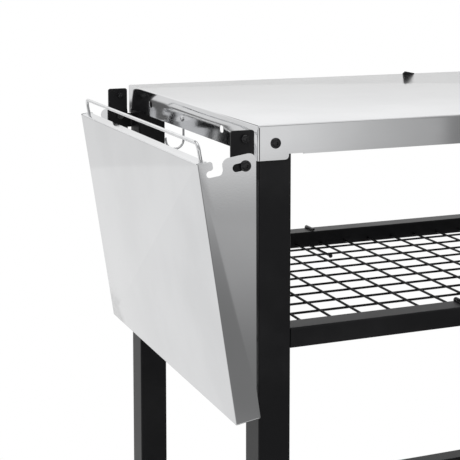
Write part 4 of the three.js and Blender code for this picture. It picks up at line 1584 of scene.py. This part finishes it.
@dataclass(frozen=True)
class Floor:
    """Pale paper under the cart that fades into the white backdrop."""

    reach: float = 6.0
    level: float = -0.0006
    paper: float = 0.86
    white: Fade = Fade(0.45, 0.72)
    dimming: float = 0.17
    ahead: Fade = Fade(0.3, 1.1, 0.63)
    beyond: Fade = Fade(1.6, 3.4, 0.23)

    def build(self) -> None:
        """Lays the floor, whose reflection darkens ahead of the cart."""
        Bench.clear()
        bpy.ops.mesh.primitive_plane_add(size=2 * self.reach, location=(0, 0, self.level))
        floor = Bench.named("floor")
        recipe = Recipe.of_material("floor_paper")
        x, y, _ = recipe.axes()
        front = 0 - y
        paper = recipe.signal("ShaderNodeBsdfDiffuse", inputs={"Color": solid((self.paper,) * 3)})
        mirror = recipe.mirrored()
        level = 1 - mirror * (self.ahead.of(front) - self.beyond.of(front) + self.dimming)
        direct = recipe.math("MAXIMUM", recipe.ray("Camera"), mirror)
        share = self.white.of(recipe.math("SQRT", x * x + y * y)) * direct
        mixed = {0: share, 1: paper, 2: recipe.glow(level)}
        floor.data.materials.append(recipe.show(recipe.signal("ShaderNodeMixShader", inputs=mixed)))


@dataclass(frozen=True)
class Backdrop:
    """A round wall that the steel reflects. Heights are metres and bearings are degrees."""

    radius: float = 3.6
    height: float = 5.5
    sink: float = 0.01
    glow: float = 0.5
    sides: Fade = Fade(75, 100)
    front_level: float = 0.8
    front_foot: Fade = Fade(0.0, 0.34, 0.5)
    front_top: Fade = Fade(0.75, 1.1, 0.45)
    right_shades: tuple[Fade, Fade] = (Fade(18, 27, 0.34), Fade(28.1, 28.9, 0.22))
    right_top: Fade = Fade(0.75, 1.1, 0.6)
    band_start: Fade = Fade(136, 141)
    band_stop: Fade = Fade(164, 168)
    band_foot: Fade = Fade(0.34, 0.37)
    band_level: float = 0.41
    band_step: Fade = Fade(151.5, 155, 0.11)
    band_edge: Fade = Fade(-0.03, 0.03)
    band_dimming: float = 0.84
    rear_level: float = 0.77
    rear_rise: Fade = Fade(0.8, 2.4, 0.25)
    rear_top: Fade = Fade(2.6, 3.0, 0.85)

    def build(self) -> None:
        """Stands the wall, whose reflection darkens ahead of the cart and low behind it."""
        Bench.clear()
        bpy.ops.mesh.primitive_cylinder_add(
            vertices=96, radius=self.radius, depth=self.height, end_fill_type="NOTHING",
            location=(0, 0, self.height / 2 - self.sink),
        )
        wall = Bench.named("backdrop")
        recipe = Recipe.of_material("backdrop_paper")
        level = recipe.signal("ShaderNodeMix", {"data_type": "FLOAT"}, {
            0: recipe.mirrored(), 2: self.glow, 3: self._reflection(recipe)})
        wall.data.materials.append(recipe.show(recipe.glow(level)))
        wall.visible_shadow = False
        wall.visible_camera = False

    def _reflection(self, recipe: Recipe) -> Signal:
        """Works out how bright the wall is in a reflection.

        Args:
            recipe: The wall's material.

        Returns:
            The brightness, from 0 to 1.
        """
        x, y, z = recipe.axes()
        bearing = recipe.math("ARCTAN2", x, 0 - y) * math.degrees(1)
        ahead = 1 - self.sides.of(recipe.math("ABSOLUTE", bearing))
        near, far = (shade.of(bearing) for shade in self.right_shades)
        right = self.front_level - (near + far) * (1 - self.right_top.of(z))
        rise = self.front_foot.of(z) + (1 - self.front_foot.amount)
        front = rise * (1 - self.front_top.of(z)) * right
        aside = 0 - bearing
        edge = z - (self.band_step.of(aside) + self.band_level)
        band = self.band_start.of(aside) * (1 - self.band_stop.of(aside))
        band = band * self.band_foot.of(z) * (1 - self.band_edge.of(edge))
        rear = (self.rear_level + self.rear_rise.of(z)) * (1 - self.rear_top.of(z))
        rear = rear * (1 - band * self.band_dimming)
        return ahead * front + (1 - ahead) * rear


@dataclass
class Studio:
    """The floor, the backdrop, soft lamps and the camera."""

    daylight: float = 0.55
    eye: RGB = (-553.93, -1290.59, 1051.58)
    turn: float = -22.24
    dip: float = 6.02
    lens: float = 98.55
    sensor: float = 36.0
    shift: Pair = (-0.0135, -0.310)
    aim: RGB = (0.0, 0.0, 0.5)
    lamps: tuple[tuple[str, RGB, float, float], ...] = (
        ("key", (-1.6, -1.4, 2.6), 1.6, 26.0),
        ("fill", (2.0, -0.6, 2.2), 1.8, 10.0),
        ("back", (0.2, 2.2, 2.8), 2.0, 16.0),
    )

    def build(self) -> None:
        """Sets the scene round the cart."""
        self.world()
        Floor().build()
        Backdrop().build()
        for name, place, size, power in self.lamps:
            self.lamp(name, Vector(place), size, power)
        self.camera()
        bpy.context.scene.view_settings.view_transform = "Standard"

    def world(self) -> None:
        """Lights the scene evenly from all round and shows white where it is seen."""
        bpy.context.scene.world = bpy.data.worlds.new("studio")
        recipe = Recipe(bpy.context.scene.world)
        either = recipe.math("MAXIMUM", recipe.ray("Camera"), recipe.ray("Glossy"))
        plain, white = (
            recipe.signal("ShaderNodeBackground", inputs={"Color": WHITE, "Strength": strength})
            for strength in (self.daylight, 1.0)
        )
        mixed = recipe.signal("ShaderNodeMixShader", inputs={0: either, 1: plain, 2: white})
        recipe.node("ShaderNodeOutputWorld", inputs={0: mixed})

    def lamp(self, name: str, place: Vector, size: float, power: float) -> None:
        """Hangs a soft square lamp that faces the cart.

        Args:
            name: Name of the lamp.
            place: Where it hangs, in metres.
            size: Length of its side in metres.
            power: Its power in watts.
        """
        light = bpy.data.lights.new(name, "AREA")
        light.energy, light.size = power, size
        lamp = bpy.data.objects.new(name, light)
        bpy.context.scene.collection.objects.link(lamp)
        lamp.location = place
        lamp.rotation_euler = (Vector(self.aim) - place).to_track_quat("-Z", "Y").to_euler()
        lamp.visible_camera = lamp.visible_glossy = False

    def camera(self) -> None:
        """Puts the camera at the photograph's place and angle."""
        data = bpy.data.cameras.new("camera")
        data.lens = self.lens
        data.sensor_width = self.sensor
        data.shift_x, data.shift_y = self.shift
        camera = bpy.data.objects.new("camera", data)
        bpy.context.scene.collection.objects.link(camera)
        camera.location = CART.at(*self.eye)
        camera.rotation_euler = (math.radians(90 - self.dip), 0, math.radians(self.turn))
        bpy.context.scene.camera = camera


def main() -> None:
    """Builds the cart's looks piece by piece and then its studio."""
    logging.basicConfig(level=logging.INFO, format="%(message)s")
    book = FinishBook()
    assemblies = [
        Table(book), Stand(book), *(GridShelf(book, name, level) for name, level in SHELF_LEVELS),
        SideShelf(book), Hinges(book), Hooks(book), *(Wheel(book, side) for _, side in SIDES),
    ]
    for assembly in assemblies:
        LOG.info("building %s", type(assembly).__name__)
        assembly.build()
    book.keep("axle", "chrome", AXLE_ROUNDING)
    Studio().build()


if __name__ == "__main__":
    main()
